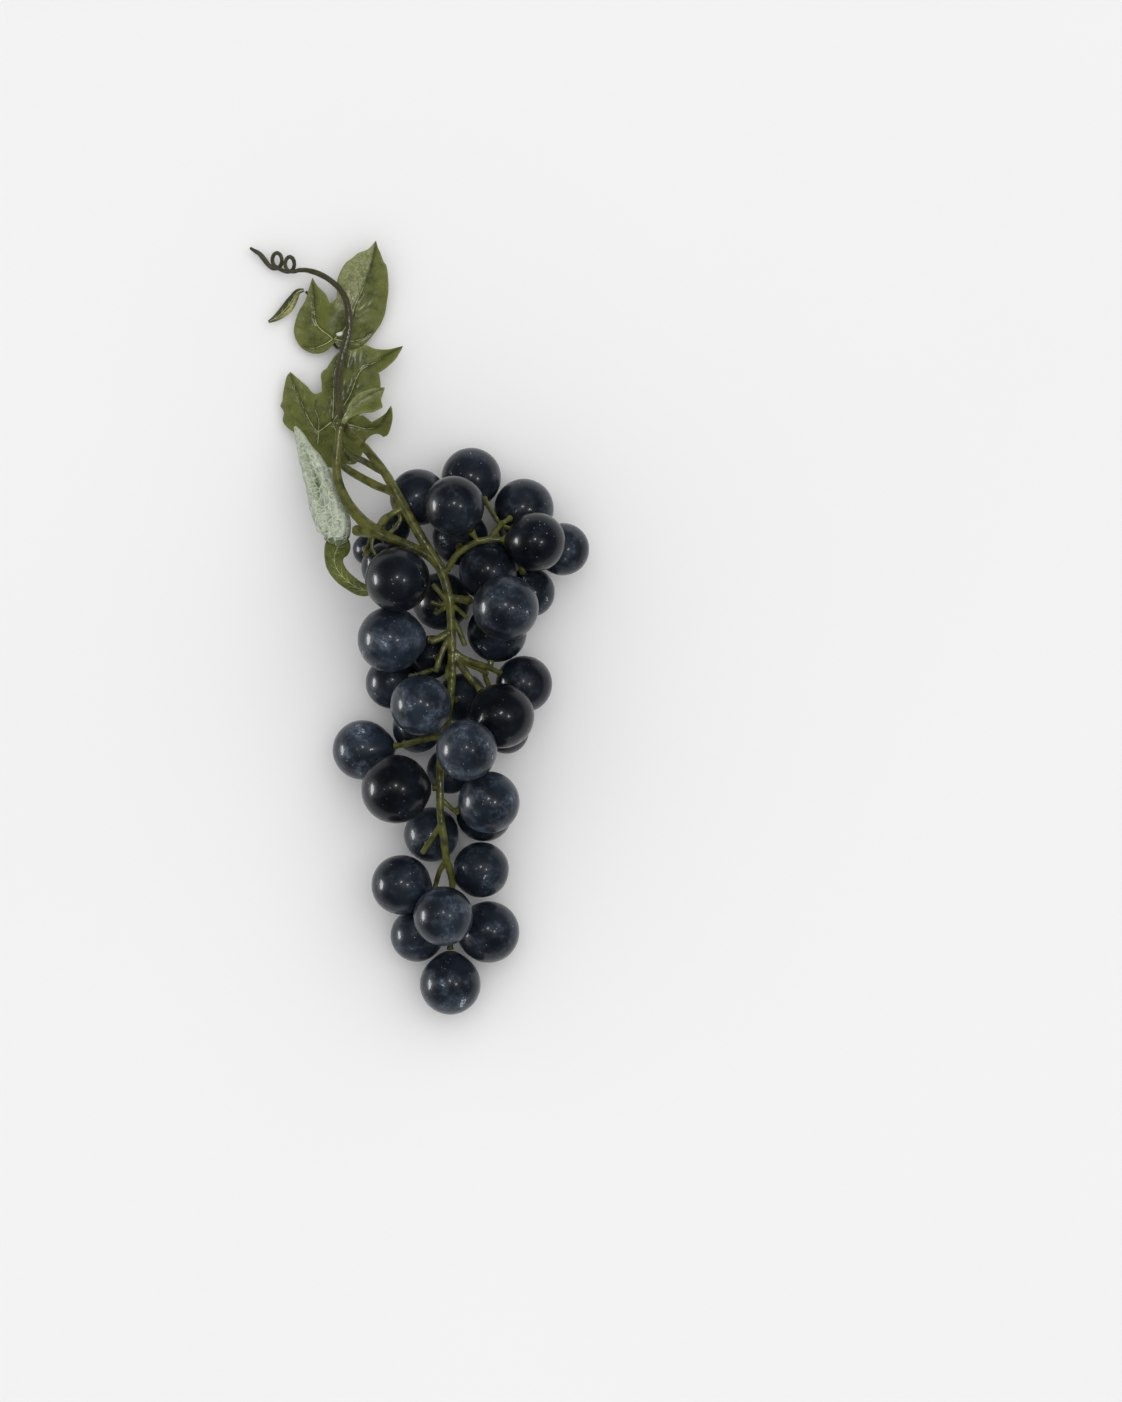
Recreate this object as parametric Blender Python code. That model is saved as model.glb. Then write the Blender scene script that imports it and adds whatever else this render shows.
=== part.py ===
"""A bunch of blue grapes lying down, with its stem, a shoot that ends in a tendril, and five leaves.

Every berry is let down, lowest first, until it meets the table or a berry already there. The stem is
drawn through the gaps, and a stalk is then led from it to each berry round the others.
Metres, +Z up, +Y along the bunch towards the shoot.
"""

import math

import bmesh
import bpy
import numpy as np
from mathutils import Vector
from mathutils.geometry import delaunay_2d_cdt

MM = 0.001
STEP = 0.4 * MM  # one step of the grid that the positions below are read on
GRID_CENTRE = (418.84, 627.39)  # middle of the whole outline, in steps, x to the right and y down
GAP = 0.3 * MM  # air left between neighbouring pieces
PRESS = 0.45 * MM  # how far the skin of a resting berry is pressed flat
BERRY_SIDES = 14
BERRY_RINGS = 8
NECK_RISE = 0.05  # how far the skin rises to the stalk, as a share of the radius
NECK_ANGLE = 0.30  # radians round the stalk over which it rises
STALK_RADIUS = 1.0 * MM
CUP_RADIUS = 1.6 * MM  # the swelling of a stalk under its berry
CUP_LENGTH = 1.5 * MM
ROOT_SHARE = 0.6  # width of a stalk where it starts inside its branch
ROUTE_ROOM = 1.3 * MM  # half the width kept clear for a stalk
LEAF_THICK = 0.75 * MM
LEAF_CELL = 4.0 * MM  # side of the triangles inside a leaf

# Berries under the stem, lowest first: x, y and diameter in steps, with neck rise and angle where special.
LOW_BERRIES = (
    (368, 549, 32),
    (393, 528, 34),
    (386, 567, 50),
    (471, 477, 60),
    (418, 497, 57),
    (524, 508, 60),
    (563, 549, 53),
    (460, 537, 56),
    (505, 553, 34),
    (441, 601, 58),
    (530, 592, 50),
    (506, 731, 46),
    (524, 684, 57),
    (497, 632, 60),
    (488, 571, 59),
    (391.5, 682.5, 53),
    (431, 657, 44),
    (462, 698, 50),
    (417, 728, 50),
    (362, 750, 60, 0.20, 0.50),
    (449, 771, 46),
    (484, 814, 56),
    (431, 835, 55),
    (481, 870, 56),
    (416.5, 936, 53),
    (488.5, 932.5, 62),
    (450, 985, 61, 0.12, 0.60),
)
# Berries that may rest on the stem too, lowest first.
HIGH_BERRIES = (
    (390.5, 639.5, 66, 0.11, 0.40),
    (398, 580, 65),
    (421, 705, 61),
    (502, 716, 65),
    (489, 802, 62),
    (395.5, 789, 69),
    (401, 885, 60),
    (443.5, 916, 60),
    (467, 750, 61),
    (454.5, 506, 60),
    (536, 542, 59),
    (506, 608, 66),
)

# Branches of the stem: points (x, y in steps, height and radius in mm), each from its parent outwards.
MAIN_STEM = (
    (450, 948, 13.0, 1.1), (451, 925, 13.8, 1.1), (452, 903, 15.0, 1.1), (452, 883, 17.5, 1.2),
    (449, 868, 21.0, 1.4), (446, 858, 23.0, 1.5), (444, 840, 25.5, 1.5), (441, 820, 26.5, 1.5),
    (440, 800, 27.0, 1.5), (440, 775, 27.0, 1.6), (441, 755, 27.0, 1.6), (445, 735, 27.0, 1.6),
    (450, 700, 28.0, 1.6), (452, 675, 28.5, 1.6), (452, 650, 29.0, 1.7), (451, 615, 28.5, 1.7),
    (448, 592, 28.5, 1.8), (440, 567, 29.0, 1.9), (425, 544, 30.0, 1.9), (411, 520, 31.0, 1.9),
    (402, 503, 31.2, 1.9), (393, 487, 30.5, 1.9), (385, 473, 29.0, 1.8), (375, 460, 27.0, 1.8),
    (365, 448, 25.0, 1.7), (355, 439, 22.5, 1.7), (347, 430, 20.0, 1.6), (341, 414, 17.0, 1.6),
    (338, 396, 15.0, 1.6), (338, 378, 13.5, 1.6), (341, 359, 12.3, 1.55), (346, 341, 11.8, 1.5),
    (349, 326, 11.6, 1.45), (348, 310, 11.2, 1.35), (345, 298, 10.7, 1.25), (340, 289, 10.0, 1.15),
    (333, 282, 9.0, 1.05), (325, 276, 8.0, 0.95), (316, 271.5, 7.0, 0.85), (306, 268.8, 6.0, 0.75),
)
TENDRIL = (
    (306, 268.8, 6.0, 0.75), (298, 268.8, 5.4, 0.65), (291, 270.5, 5.0, 0.55), (286, 268, 5.0, 0.55),
    (284.2, 262.5, 5.2, 0.55), (286, 257, 5.6, 0.55), (289, 255.3, 5.8, 0.55), (292.2, 257.5, 5.6, 0.55),
    (293.5, 263, 5.0, 0.55), (291.5, 268.5, 3.9, 0.55), (286, 270.5, 3.3, 0.55), (279, 267.5, 3.6, 0.55),
    (273.6, 264.5, 3.8, 0.55), (271.3, 259.5, 4.2, 0.55), (272.6, 253.5, 4.7, 0.55), (276, 251.3, 4.9, 0.55),
    (279.8, 254, 4.7, 0.55), (281, 260, 4.1, 0.55), (278.5, 265.5, 3.0, 0.55), (273, 267, 2.3, 0.6),
    (267.5, 263.5, 2.2, 0.75), (263, 257.5, 2.4, 0.8), (258.5, 252.3, 2.6, 0.75), (253, 248.8, 2.7, 0.55),
    (249, 246.2, 2.7, 0.3),
)
LEFT_BRANCH = (
    (441, 570, 28.8, 1.7), (432, 559, 29.3, 1.8), (422, 552, 30.0, 1.8), (410, 546, 30.8, 1.8),
    (398, 541, 31.2, 1.8), (387, 537, 31.2, 2.1), (377, 532, 30.8, 2.5), (366, 524, 29.0, 2.35),
    (356, 514, 27.0, 2.2), (348, 503, 25.4, 2.0), (341, 489, 24.0, 1.85), (337, 475, 23.0, 1.8),
    (336.5, 460, 22.3, 1.7), (338, 444, 21.8, 1.6), (339.5, 430, 21.5, 1.5), (343, 420, 21.2, 1.3),
)
BRANCHES = (
    LEFT_BRANCH,
    TENDRIL,
    # The link between the two shoots, and the thin strands beside it.
    ((378, 529, 30.6, 1.5), (385, 520, 31.5, 1.4), (394, 513, 32.2, 1.2), (404, 508, 31.2, 1.1)),
    (
        (394, 498, 30.6, 0.9), (397, 508, 30.0, 0.8), (401, 518, 29.6, 0.8), (397, 527, 30.0, 0.8),
        (388, 534, 31.0, 0.8),
    ),
    ((372, 535, 30.0, 0.9), (368, 546, 27.5, 0.7), (363, 556, 25.0, 0.5)),
    ((374, 536, 30.0, 0.9), (372, 546, 30.5, 0.7), (376, 555, 31.0, 0.5)),
    # Leaf stalks.
    (
        (395, 494, 30.6, 1.5), (387, 490, 29.5, 1.6), (375, 485, 27.0, 1.7), (362, 478, 23.0, 1.65),
        (350, 471, 18.5, 1.55), (340, 463, 14.0, 1.4), (334, 452, 11.6, 1.2),
    ),
    (
        (384, 473, 28.5, 1.3), (372, 466, 25.0, 1.35), (362, 460, 20.0, 1.3), (352, 456, 14.5, 1.15),
        (345, 450, 11.6, 1.0),
    ),
    ((347, 427, 20.0, 0.8), (352, 436, 22.6, 0.6), (358, 443, 24.4, 0.6), (366, 446, 25.2, 0.6)),
    ((376, 533, 30.5, 2.2), (368, 532, 29.5, 2.2), (360, 531, 27.5, 2.2), (354.6, 530, 26.0, 2.1)),
    ((347, 333, 11.6, 1.0), (341, 333, 10.4, 1.0), (336, 334, 9.2, 0.9)),
    (
        (344, 346, 11.9, 0.7), (340.5, 347.3, 9.0, 0.6), (338, 347.6, 6.0, 0.6), (334.5, 344.5, 3.0, 0.6),
        (331, 339, 1.8, 0.6), (324, 326, 1.6, 0.6), (314, 302, 1.7, 0.6), (305, 290, 3.0, 0.6),
    ),
    # Side branches to the right, from the shoulder down.
    (
        (447, 571, 28.8, 1.3), (455, 557, 30.0, 1.3), (463, 550, 31.0, 1.3), (478, 541.5, 31.8, 1.3),
        (490, 539, 31.6, 1.3), (497, 529, 30.4, 1.2), (503, 522, 29.4, 1.2),
    ),
    ((490, 539, 31.6, 1.2), (496, 539.5, 31.8, 1.1), (502, 539.5, 31.8, 1.1)),
    ((450, 598, 28.5, 1.6), (460, 599, 29.5, 1.6), (471, 601, 31.0, 1.6)),
    ((451, 604, 28.5, 1.0), (460, 611, 28.5, 0.9), (467, 618, 27.5, 0.8)),
    ((452, 617, 28.5, 1.1), (459, 630, 28.0, 1.1), (465, 646, 27.0, 1.0)),
    (
        (453, 650, 29.0, 1.3), (461, 657, 28.5, 1.3), (475, 663, 26.8, 1.3), (486, 666.5, 24.8, 1.2),
        (492.5, 669.5, 23.4, 1.05),
    ),
    ((458, 655, 28.6, 1.1), (466, 663, 26.8, 1.0), (478, 668.5, 24.6, 1.0), (488, 674, 22.8, 0.9)),
    ((453, 651, 29.0, 1.4), (459, 663, 28.6, 1.4), (467, 674, 28.4, 1.4), (476, 686, 28.0, 1.3)),
    ((440, 798, 27.0, 1.1), (450, 807, 26.5, 0.9), (458, 814, 26.0, 0.8)),
    # Side branches to the left.
    ((447, 602, 28.5, 1.1), (441, 594, 29.0, 1.0), (433, 584, 29.5, 0.9)),
    ((448, 603, 28.5, 1.1), (440, 605, 28.5, 1.0), (431, 602, 28.5, 0.8)),
    ((449, 606, 28.5, 1.1), (441, 610, 28.0, 1.0), (435, 614, 27.5, 0.9)),
    ((450, 632, 28.8, 1.5), (440, 638, 29.6, 1.4), (430, 641.5, 30.4, 1.4)),
    ((450, 638, 28.8, 1.2), (443, 650, 29.0, 1.2), (438, 664, 29.2, 1.2), (436, 672, 29.2, 1.1)),
    ((452, 655, 28.8, 1.2), (449, 668, 28.6, 1.2), (446, 680, 28.4, 1.1)),
    (
        (442, 737, 27.0, 1.3), (430, 738, 25.5, 1.3), (413, 742, 23.6, 1.2), (407, 743.8, 21.6, 1.15),
        (402, 745.5, 19.0, 1.1),
    ),
    ((441, 824, 26.3, 1.2), (433, 837, 24.6, 1.1), (422, 853, 22.0, 1.1)),
    ((446, 861, 22.6, 1.1), (440, 870, 20.4, 1.1), (436, 883, 17.5, 1.0), (433, 894, 15.5, 0.9)),
)

# Leaf outlines in steps, and height marks (x, y in steps, height in mm) that the blade passes through.
LOBED_LEAF = (
    (375.5, 239.5), (377, 245), (380, 252), (383, 260), (386, 265), (387.5, 275), (388, 288), (386.5, 300),
    (384.5, 312), (380, 323), (373, 333), (366, 341), (358, 348), (352, 356), (347, 361), (344, 354),
    (343, 348), (334, 341.5), (325, 350), (315, 352.5), (306, 350), (300, 346), (295, 338), (293, 330),
    (294, 322), (298, 310), (303, 302), (306, 295), (309, 284), (311.5, 276.5), (316, 284), (322, 290),
    (326, 295), (328, 300), (330, 302), (336, 297), (336, 286), (337, 278), (340, 270), (345, 262),
    (352, 257), (358, 252), (366, 249), (371, 245),
)
LOBED_MARKS = (
    (332, 338, 6.2), (375, 240, 9.5), (352, 257, 11.0), (337, 284, 7.6), (346, 305, 7.4), (361, 290, 6.6),
    (369, 268, 7.8), (388, 288, 6.6), (384, 312, 5.2), (366, 341, 4.4), (347, 360, 4.0), (357, 320, 6.4),
    (311.5, 276.5, 5.2), (294, 322, 3.6), (315, 352, 3.6), (329, 301, 6.2), (314, 315, 5.0),
)
TOOTHED_LEAF = (
    (289.5, 371), (300, 380), (306, 385), (310, 390), (315, 393), (321, 391), (321, 383), (320, 375),
    (322, 370), (326, 367), (330, 361), (334, 355), (339, 351), (347, 349), (354, 348), (359, 346),
    (363, 344.5), (367, 344.5), (372, 347), (380, 348.5), (390, 348), (402.5, 345), (400, 350), (395, 358),
    (389, 364), (384, 368), (378, 372), (379, 375), (380, 386), (376, 394), (369, 402), (362, 410),
    (358, 415), (363, 415), (371, 421.5), (376, 419), (384, 414), (388, 409), (390.5, 405.5), (392, 411),
    (392, 420), (388, 433), (383, 436), (378, 433), (372, 434), (365, 440), (363, 450), (357, 461),
    (350, 464), (341, 462), (334, 466), (328, 466), (319, 458), (310, 450), (303, 441), (294, 432),
    (287, 427), (282, 420), (283, 411), (279.5, 405), (281.5, 400), (282, 393), (284, 383), (286, 375),
)
TOOTHED_MARKS = (
    (331, 421, 9.0), (289.5, 371, 5.5), (280, 403, 3.6), (286, 426, 4.0), (300, 400, 5.6), (316, 400, 7.6),
    (312, 391, 7.0), (339, 351, 7.4), (321, 378, 6.0), (336, 385, 8.2), (402, 345, 10.5), (363, 345, 7.4),
    (378, 357, 7.2), (384, 368, 8.8), (380, 386, 9.4), (356, 377, 8.6), (360, 412, 9.6), (390, 406, 17.0),
    (392, 420, 13.6), (376, 427, 10.2), (383, 436, 8.6), (365, 440, 8.0), (357, 461, 7.2), (341, 462, 7.4),
    (328, 466, 6.0), (306, 445, 4.6),
)
FOLDED_LEAF = (
    (341, 423), (343, 417), (345.5, 413), (350, 403), (355, 397), (360, 393), (372, 389), (379, 388),
    (384.5, 387), (384, 390), (382, 396), (381, 400), (382.5, 406), (381, 408), (372, 412), (362, 413),
    (350, 418), (345, 424),
)
FOLDED_MARKS = (
    (343, 421, 24.6), (356, 402, 21.5), (370, 395, 20.0), (384, 387, 21.5), (350, 403, 24.2),
    (360, 393, 23.5), (372, 389, 22.0), (381, 407, 21.8), (372, 412, 23.0), (362, 413, 23.6),
    (350, 418, 24.4),
)
# Rolled blades: points (x, y and full width in steps, height of the crest in mm) from tip to foot.
ROLLED_LEAF = (
    (294.3, 426, 1.5, 12.2), (299, 435, 8, 13.2), (305, 450, 15.5, 15.6), (311, 462, 22.5, 17.6),
    (316.5, 475, 26.5, 19.4), (321.5, 490, 30, 21.4), (326, 503, 33.5, 23.2), (331, 517, 35, 25.0),
    (334.5, 529, 31.5, 26.2), (334.2, 536.5, 26, 25.6), (331.5, 543, 15, 22.8),
)
HOOK_LOBE = (
    (341, 537, 14, 20.6), (339.3, 543, 22, 21.2), (336.8, 549, 24.5, 22.2), (334.3, 557, 19, 24.4),
    (335.5, 566, 16.5, 26.8), (341.5, 575.5, 15, 28.8), (349.5, 582.5, 14, 30.2), (358, 588, 13, 31.6),
    (366, 590.5, 11, 33.0), (371.5, 590.5, 6, 34.2),
)
YOUNG_LEAF = (
    (303, 288.6, 2, 4.0), (297, 290.5, 5, 4.4), (292.5, 297, 8, 4.8), (287.5, 304.5, 10, 4.8),
    (281.5, 311, 9, 4.4), (275, 316.5, 5.5, 3.8), (267.5, 320.5, 1.5, 3.4),
)
SKIN_COLOR = (0.012, 0.018, 0.032, 1)
STEM_COLOR = (0.11, 0.11, 0.035, 1)
LEAF_COLOR = (0.12, 0.15, 0.05, 1)
PALE_LEAF_COLOR = (0.33, 0.38, 0.24, 1)


def place(x, y, height):
    """A point read on the grid, in metres, with its height given in mm."""
    return np.array(((x - GRID_CENTRE[0]) * STEP, (GRID_CENTRE[1] - y) * STEP, height * MM))


def clear_scene():
    for obj in list(bpy.data.objects):
        bpy.data.objects.remove(obj)


def new_collection(name):
    collection = bpy.data.collections.new(name)
    bpy.context.scene.collection.children.link(collection)
    return collection


def make_material(name, color, roughness):
    material = bpy.data.materials.new(name)
    material.use_nodes = True
    shader = material.node_tree.nodes["Principled BSDF"]
    shader.inputs["Base Color"].default_value = color
    shader.inputs["Roughness"].default_value = roughness
    return material


def object_of(name, mesh, collection, material=None):
    obj = bpy.data.objects.new(name, mesh)
    collection.objects.link(obj)
    if material:
        mesh.materials.append(material)
    return obj


def smooth_points(points, parts):
    """Points along a curve through the given ones, with this many parts between each pair."""
    ends = [2 * points[0] - points[1]] + list(points) + [2 * points[-1] - points[-2]]
    found = []
    for a, b, c, d in zip(ends, ends[1:], ends[2:], ends[3:]):
        for i in range(parts):
            t = i / parts
            square = (2 * a - 5 * b + 4 * c - d) * t**2
            cube = (3 * b - a - 3 * c + d) * t**3
            found.append(0.5 * (2 * b + (c - a) * t + square + cube))
    return found + [points[-1]]


def branch_points(branch, parts=2):
    """The branch as rows of x, y, z and radius in metres."""
    rows = [np.append(place(x, y, height), radius * MM) for x, y, height, radius in branch]
    return np.array(smooth_points(rows, parts))


def rest_height(x, y, radius, placed):
    """How high the centre of a ball stays when it is let down over the balls already placed."""
    height = radius - PRESS
    for centre, other in placed:
        reach = radius + other + GAP
        across = math.hypot(x - centre[0], y - centre[1])
        if across < reach:
            height = max(height, centre[2] + math.sqrt(reach**2 - across**2))
    return height


def settle_berries(stem_balls):
    """The berries as dictionaries with a centre, a radius and the shape of the neck."""
    berries = []
    placed = []
    for berry in LOW_BERRIES + HIGH_BERRIES:
        if len(berries) == len(LOW_BERRIES):
            placed += stem_balls
        x, y, _ = place(berry[0], berry[1], 0)
        radius = berry[2] * STEP / 2
        rise, angle = berry[3:] or (NECK_RISE, NECK_ANGLE)
        centre = np.array((x, y, rest_height(x, y, radius, placed)))
        placed.append((centre, radius))
        berries.append({"centre": centre, "radius": radius, "rise": rise, "angle": angle})
    return berries


def berry_mesh(berry):
    bm = bmesh.new()
    bmesh.ops.create_uvsphere(bm, u_segments=BERRY_SIDES, v_segments=BERRY_RINGS, radius=1)
    turn = Vector((0, 0, 1)).rotation_difference(Vector(berry["neck"]))
    for vert in bm.verts:
        angle = vert.co.angle((0, 0, 1))
        swell = 1 + berry["rise"] * math.exp(-((angle / berry["angle"]) ** 2))
        vert.co = turn @ (vert.co * berry["radius"] * swell) + Vector(berry["centre"])
    geometry = bm.verts[:] + bm.edges[:] + bm.faces[:]
    bmesh.ops.bisect_plane(bm, geom=geometry, plane_co=(0, 0, 0), plane_no=(0, 0, 1), clear_inner=True)
    open_edges = [edge for edge in bm.edges if edge.is_boundary]
    if open_edges:
        bmesh.ops.contextual_create(bm, geom=open_edges)
    for face in bm.faces:
        face.smooth = abs(face.normal.z) < 0.9999
    mesh = bpy.data.meshes.new("berry")
    bm.to_mesh(mesh)
    bm.free()
    return mesh


def led_line(start, goal, blocks):
    """A slack line from start to goal, pushed out of the balls in blocks, and its worst overlap."""
    line = np.linspace(start, goal, 15)
    for turn in range(120):
        line[1:-1] += 0.5 * ((line[:-2] + line[2:]) / 2 - line[1:-1])
        for centre, reach in blocks:
            away = line[1:-1] - centre
            far = np.linalg.norm(away, axis=1)
            near = far < reach
            line[1:-1][near] += away[near] * (reach / far[near] - 1)[:, None]
        line[1:-1, 2] = np.maximum(line[1:-1, 2], STALK_RADIUS + GAP)
    inner = line[1:-1]
    overlap = 0
    for centre, reach in blocks:
        overlap = max(overlap, reach - np.linalg.norm(inner - centre, axis=1).min())
    return line, overlap


def lead_stalk(index, berries, stem_points):
    """Finds the shortest free way from the stem to this berry. Sets the neck and returns the stalk's rows."""
    berry = berries[index]
    blocks = []
    for number, other in enumerate(berries):
        apart = np.linalg.norm(other["centre"] - berry["centre"])
        if number != index and apart < 70 * MM:
            blocks.append((other["centre"], other["radius"] + ROUTE_ROOM + GAP))
    order = np.argsort(np.linalg.norm(stem_points - berry["centre"], axis=1))
    best = None
    for start in stem_points[order[:40:2]]:
        line, overlap = led_line(start, berry["centre"], blocks)
        length = np.linalg.norm(np.diff(line, axis=0), axis=1).sum()
        cost = length + 30 * overlap
        if best is None or cost < best[0]:
            best = (cost, line, overlap)
    line = best[1]
    edge = berry["radius"] * (1 + berry["rise"]) + GAP
    outside = [p for p in line if np.linalg.norm(p - berry["centre"]) > edge + CUP_LENGTH * 1.3]
    if not outside:
        outside = [line[0]]
    neck = outside[-1] - berry["centre"]
    neck /= np.linalg.norm(neck)
    berry["neck"] = neck
    berry["overlap"] = best[2]
    shaft = [outside[0]] + outside[2:-1:2] + ([outside[-1]] if len(outside) > 1 else [])
    rows = [np.append(point, STALK_RADIUS) for point in shaft]
    rows[0][3] *= ROOT_SHARE
    rows.append(np.append(berry["centre"] + neck * (edge + CUP_LENGTH), STALK_RADIUS * 1.1))
    rows.append(np.append(berry["centre"] + neck * edge, CUP_RADIUS))
    return np.array(rows)


def tube(name, rows, collection, round_steps):
    """A closed tube through rows of x, y, z and radius, as a mesh object."""
    curve = bpy.data.curves.new(name, "CURVE")
    curve.dimensions = "3D"
    curve.bevel_depth = 1
    curve.bevel_resolution = round_steps
    curve.use_fill_caps = True
    spline = curve.splines.new("POLY")
    spline.points.add(len(rows) - 1)
    for point, row in zip(spline.points, rows):
        point.co = (*row[:3], 1)
        point.radius = row[3]
    drawn = object_of(name + "_curve", curve, collection)
    graph = bpy.context.evaluated_depsgraph_get()
    mesh = bpy.data.meshes.new_from_object(drawn.evaluated_get(graph))
    bpy.data.objects.remove(drawn)
    bm = bmesh.new()
    bm.from_mesh(mesh)
    bmesh.ops.remove_doubles(bm, verts=bm.verts, dist=0.000005)
    bmesh.ops.recalc_face_normals(bm, faces=bm.faces)
    bm.to_mesh(mesh)
    bm.free()
    return object_of(name, mesh, collection)


def keep_largest(mesh):
    """Removes the specks that a union leaves where two tubes only just touch."""
    bm = bmesh.new()
    bm.from_mesh(mesh)
    left = set(bm.verts)
    islands = []
    while left:
        island = {left.pop()}
        front = list(island)
        while front:
            vert = front.pop()
            for edge in vert.link_edges:
                other = edge.other_vert(vert)
                if other in left:
                    left.remove(other)
                    island.add(other)
                    front.append(other)
        islands.append(island)
    largest = max(islands, key=len)
    bmesh.ops.delete(bm, geom=[vert for vert in bm.verts if vert not in largest], context="VERTS")
    bm.to_mesh(mesh)
    bm.free()


def join_all(name, pieces, helpers, target, material):
    """One closed body from overlapping pieces: the first is joined with all the others at once."""
    first = pieces[0]
    helpers.objects.unlink(first)
    target.objects.link(first)
    union = first.modifiers.new("union", "BOOLEAN")
    union.operation = "UNION"
    union.solver = "MANIFOLD"
    union.operand_type = "COLLECTION"
    union.collection = helpers
    graph = bpy.context.evaluated_depsgraph_get()
    mesh = bpy.data.meshes.new_from_object(first.evaluated_get(graph))
    for piece in pieces:
        bpy.data.objects.remove(piece)
    keep_largest(mesh)
    mesh.materials.clear()
    for polygon in mesh.polygons:
        polygon.use_smooth = True
        polygon.material_index = 0
    return object_of(name, mesh, target, material)


def height_field(marks):
    """A smooth surface through the marks, as a function of x and y in metres."""
    known = np.array([place(*mark) for mark in marks])

    def bend(squares):
        return squares * np.log(squares + 1e-12)

    size = len(known)
    across = ((known[:, None, :2] - known[None, :, :2]) ** 2).sum(axis=2)
    table = np.zeros((size + 3, size + 3))
    table[:size, :size] = bend(across) + np.eye(size) * 2e-6
    table[:size, size:] = np.column_stack((np.ones(size), known[:, :2]))
    table[size:, :size] = table[:size, size:].T
    weights = np.linalg.solve(table, np.append(known[:, 2], np.zeros(3)))

    def height(x, y):
        squares = (x - known[:, 0]) ** 2 + (y - known[:, 1]) ** 2
        return bend(squares) @ weights[:size] + weights[size:] @ (1, x, y)

    return height


def inside(x, y, loop):
    crossings = 0
    for (ax, ay), (bx, by) in zip(loop, loop[1:] + loop[:1]):
        if (ay > y) != (by > y) and x < ax + (bx - ax) * (y - ay) / (by - ay):
            crossings += 1
    return crossings % 2 == 1


def edge_distance(x, y, loop):
    return min(math.hypot(x - px, y - py) for px, py in loop)


def cut_sheet(outline, marks, cell=LEAF_CELL):
    """Points and triangles of a leaf blade with this outline, bent through the marks."""
    loop = [tuple(place(x, y, 0)[:2]) for x, y in outline]
    points = list(loop)
    xs, ys = zip(*loop)
    rows = math.ceil((max(ys) - min(ys)) / (cell * 0.866))
    columns = math.ceil((max(xs) - min(xs)) / cell)
    for row in range(rows):
        for column in range(columns):
            x = min(xs) + (column + 0.5 * (row % 2)) * cell
            y = min(ys) + row * cell * 0.866
            if inside(x, y, loop) and edge_distance(x, y, loop) > 0.55 * cell:
                points.append((x, y))
    edges = [(i, (i + 1) % len(loop)) for i in range(len(loop))]
    flat, _, faces, *_ = delaunay_2d_cdt([Vector(p) for p in points], edges, [], 0, 1e-7, False)
    triangles = []
    for face in faces:
        middle = sum((flat[i] for i in face), Vector((0, 0))) / 3
        if inside(middle.x, middle.y, loop):
            triangles.append(tuple(face))
    height = height_field(marks)
    return np.array([(p.x, p.y, height(p.x, p.y)) for p in flat]), triangles


def rolled_sheet(spine, half_angle, flatten, parts=6, between=1):
    """Points and triangles of a blade arched over its spine: half_angle in degrees to each edge."""
    rows = np.array([np.append(place(x, y, height), width * STEP / 2) for x, y, width, height in spine])
    rows = np.array(smooth_points(list(rows), between))
    ahead = np.gradient(rows[:, :2], axis=0)
    ahead /= np.linalg.norm(ahead, axis=1)[:, None]
    points = []
    for (x, y, z, half), (dx, dy) in zip(rows, ahead):
        half = max(half, 0.3 * MM)
        reach = half / math.sin(math.radians(min(half_angle, 90)))
        for i in range(parts + 1):
            angle = math.radians(half_angle) * (2 * i / parts - 1)
            side = reach * math.sin(angle)
            drop = reach * flatten * (1 - math.cos(angle))
            points.append((x - dy * side, y + dx * side, z - drop))
    triangles = []
    across = parts + 1
    for row in range(len(rows) - 1):
        for i in range(parts):
            a = row * across + i
            triangles += [(a, a + 1, a + across + 1), (a, a + across + 1, a + across)]
    return np.array(points), triangles


def thick_mesh(points, triangles, thick=LEAF_THICK):
    """A closed solid of even thickness: the sheet on both faces, split alike, with a rim between them."""
    normals = np.zeros_like(points)
    for a, b, c in triangles:
        normals[[a, b, c]] += np.cross(points[b] - points[a], points[c] - points[a])
    normals /= np.linalg.norm(normals, axis=1)[:, None]
    count = len(points)
    corners = np.concatenate((points + normals * thick / 2, points - normals * thick / 2))
    sides = {(a, b) for tri in triangles for a, b in zip(tri, tri[1:] + tri[:1])}
    faces = list(triangles)
    faces += [(c + count, b + count, a + count) for a, b, c in triangles]
    for a, b in sorted(sides):
        if (b, a) not in sides:
            faces += [(b, a, a + count), (b, a + count, b + count)]
    mesh = bpy.data.meshes.new("blade")
    mesh.from_pydata([tuple(p) for p in corners], [], faces)
    bm = bmesh.new()
    bm.from_mesh(mesh)
    bmesh.ops.recalc_face_normals(bm, faces=bm.faces)
    bm.to_mesh(mesh)
    bm.free()
    return mesh


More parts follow.
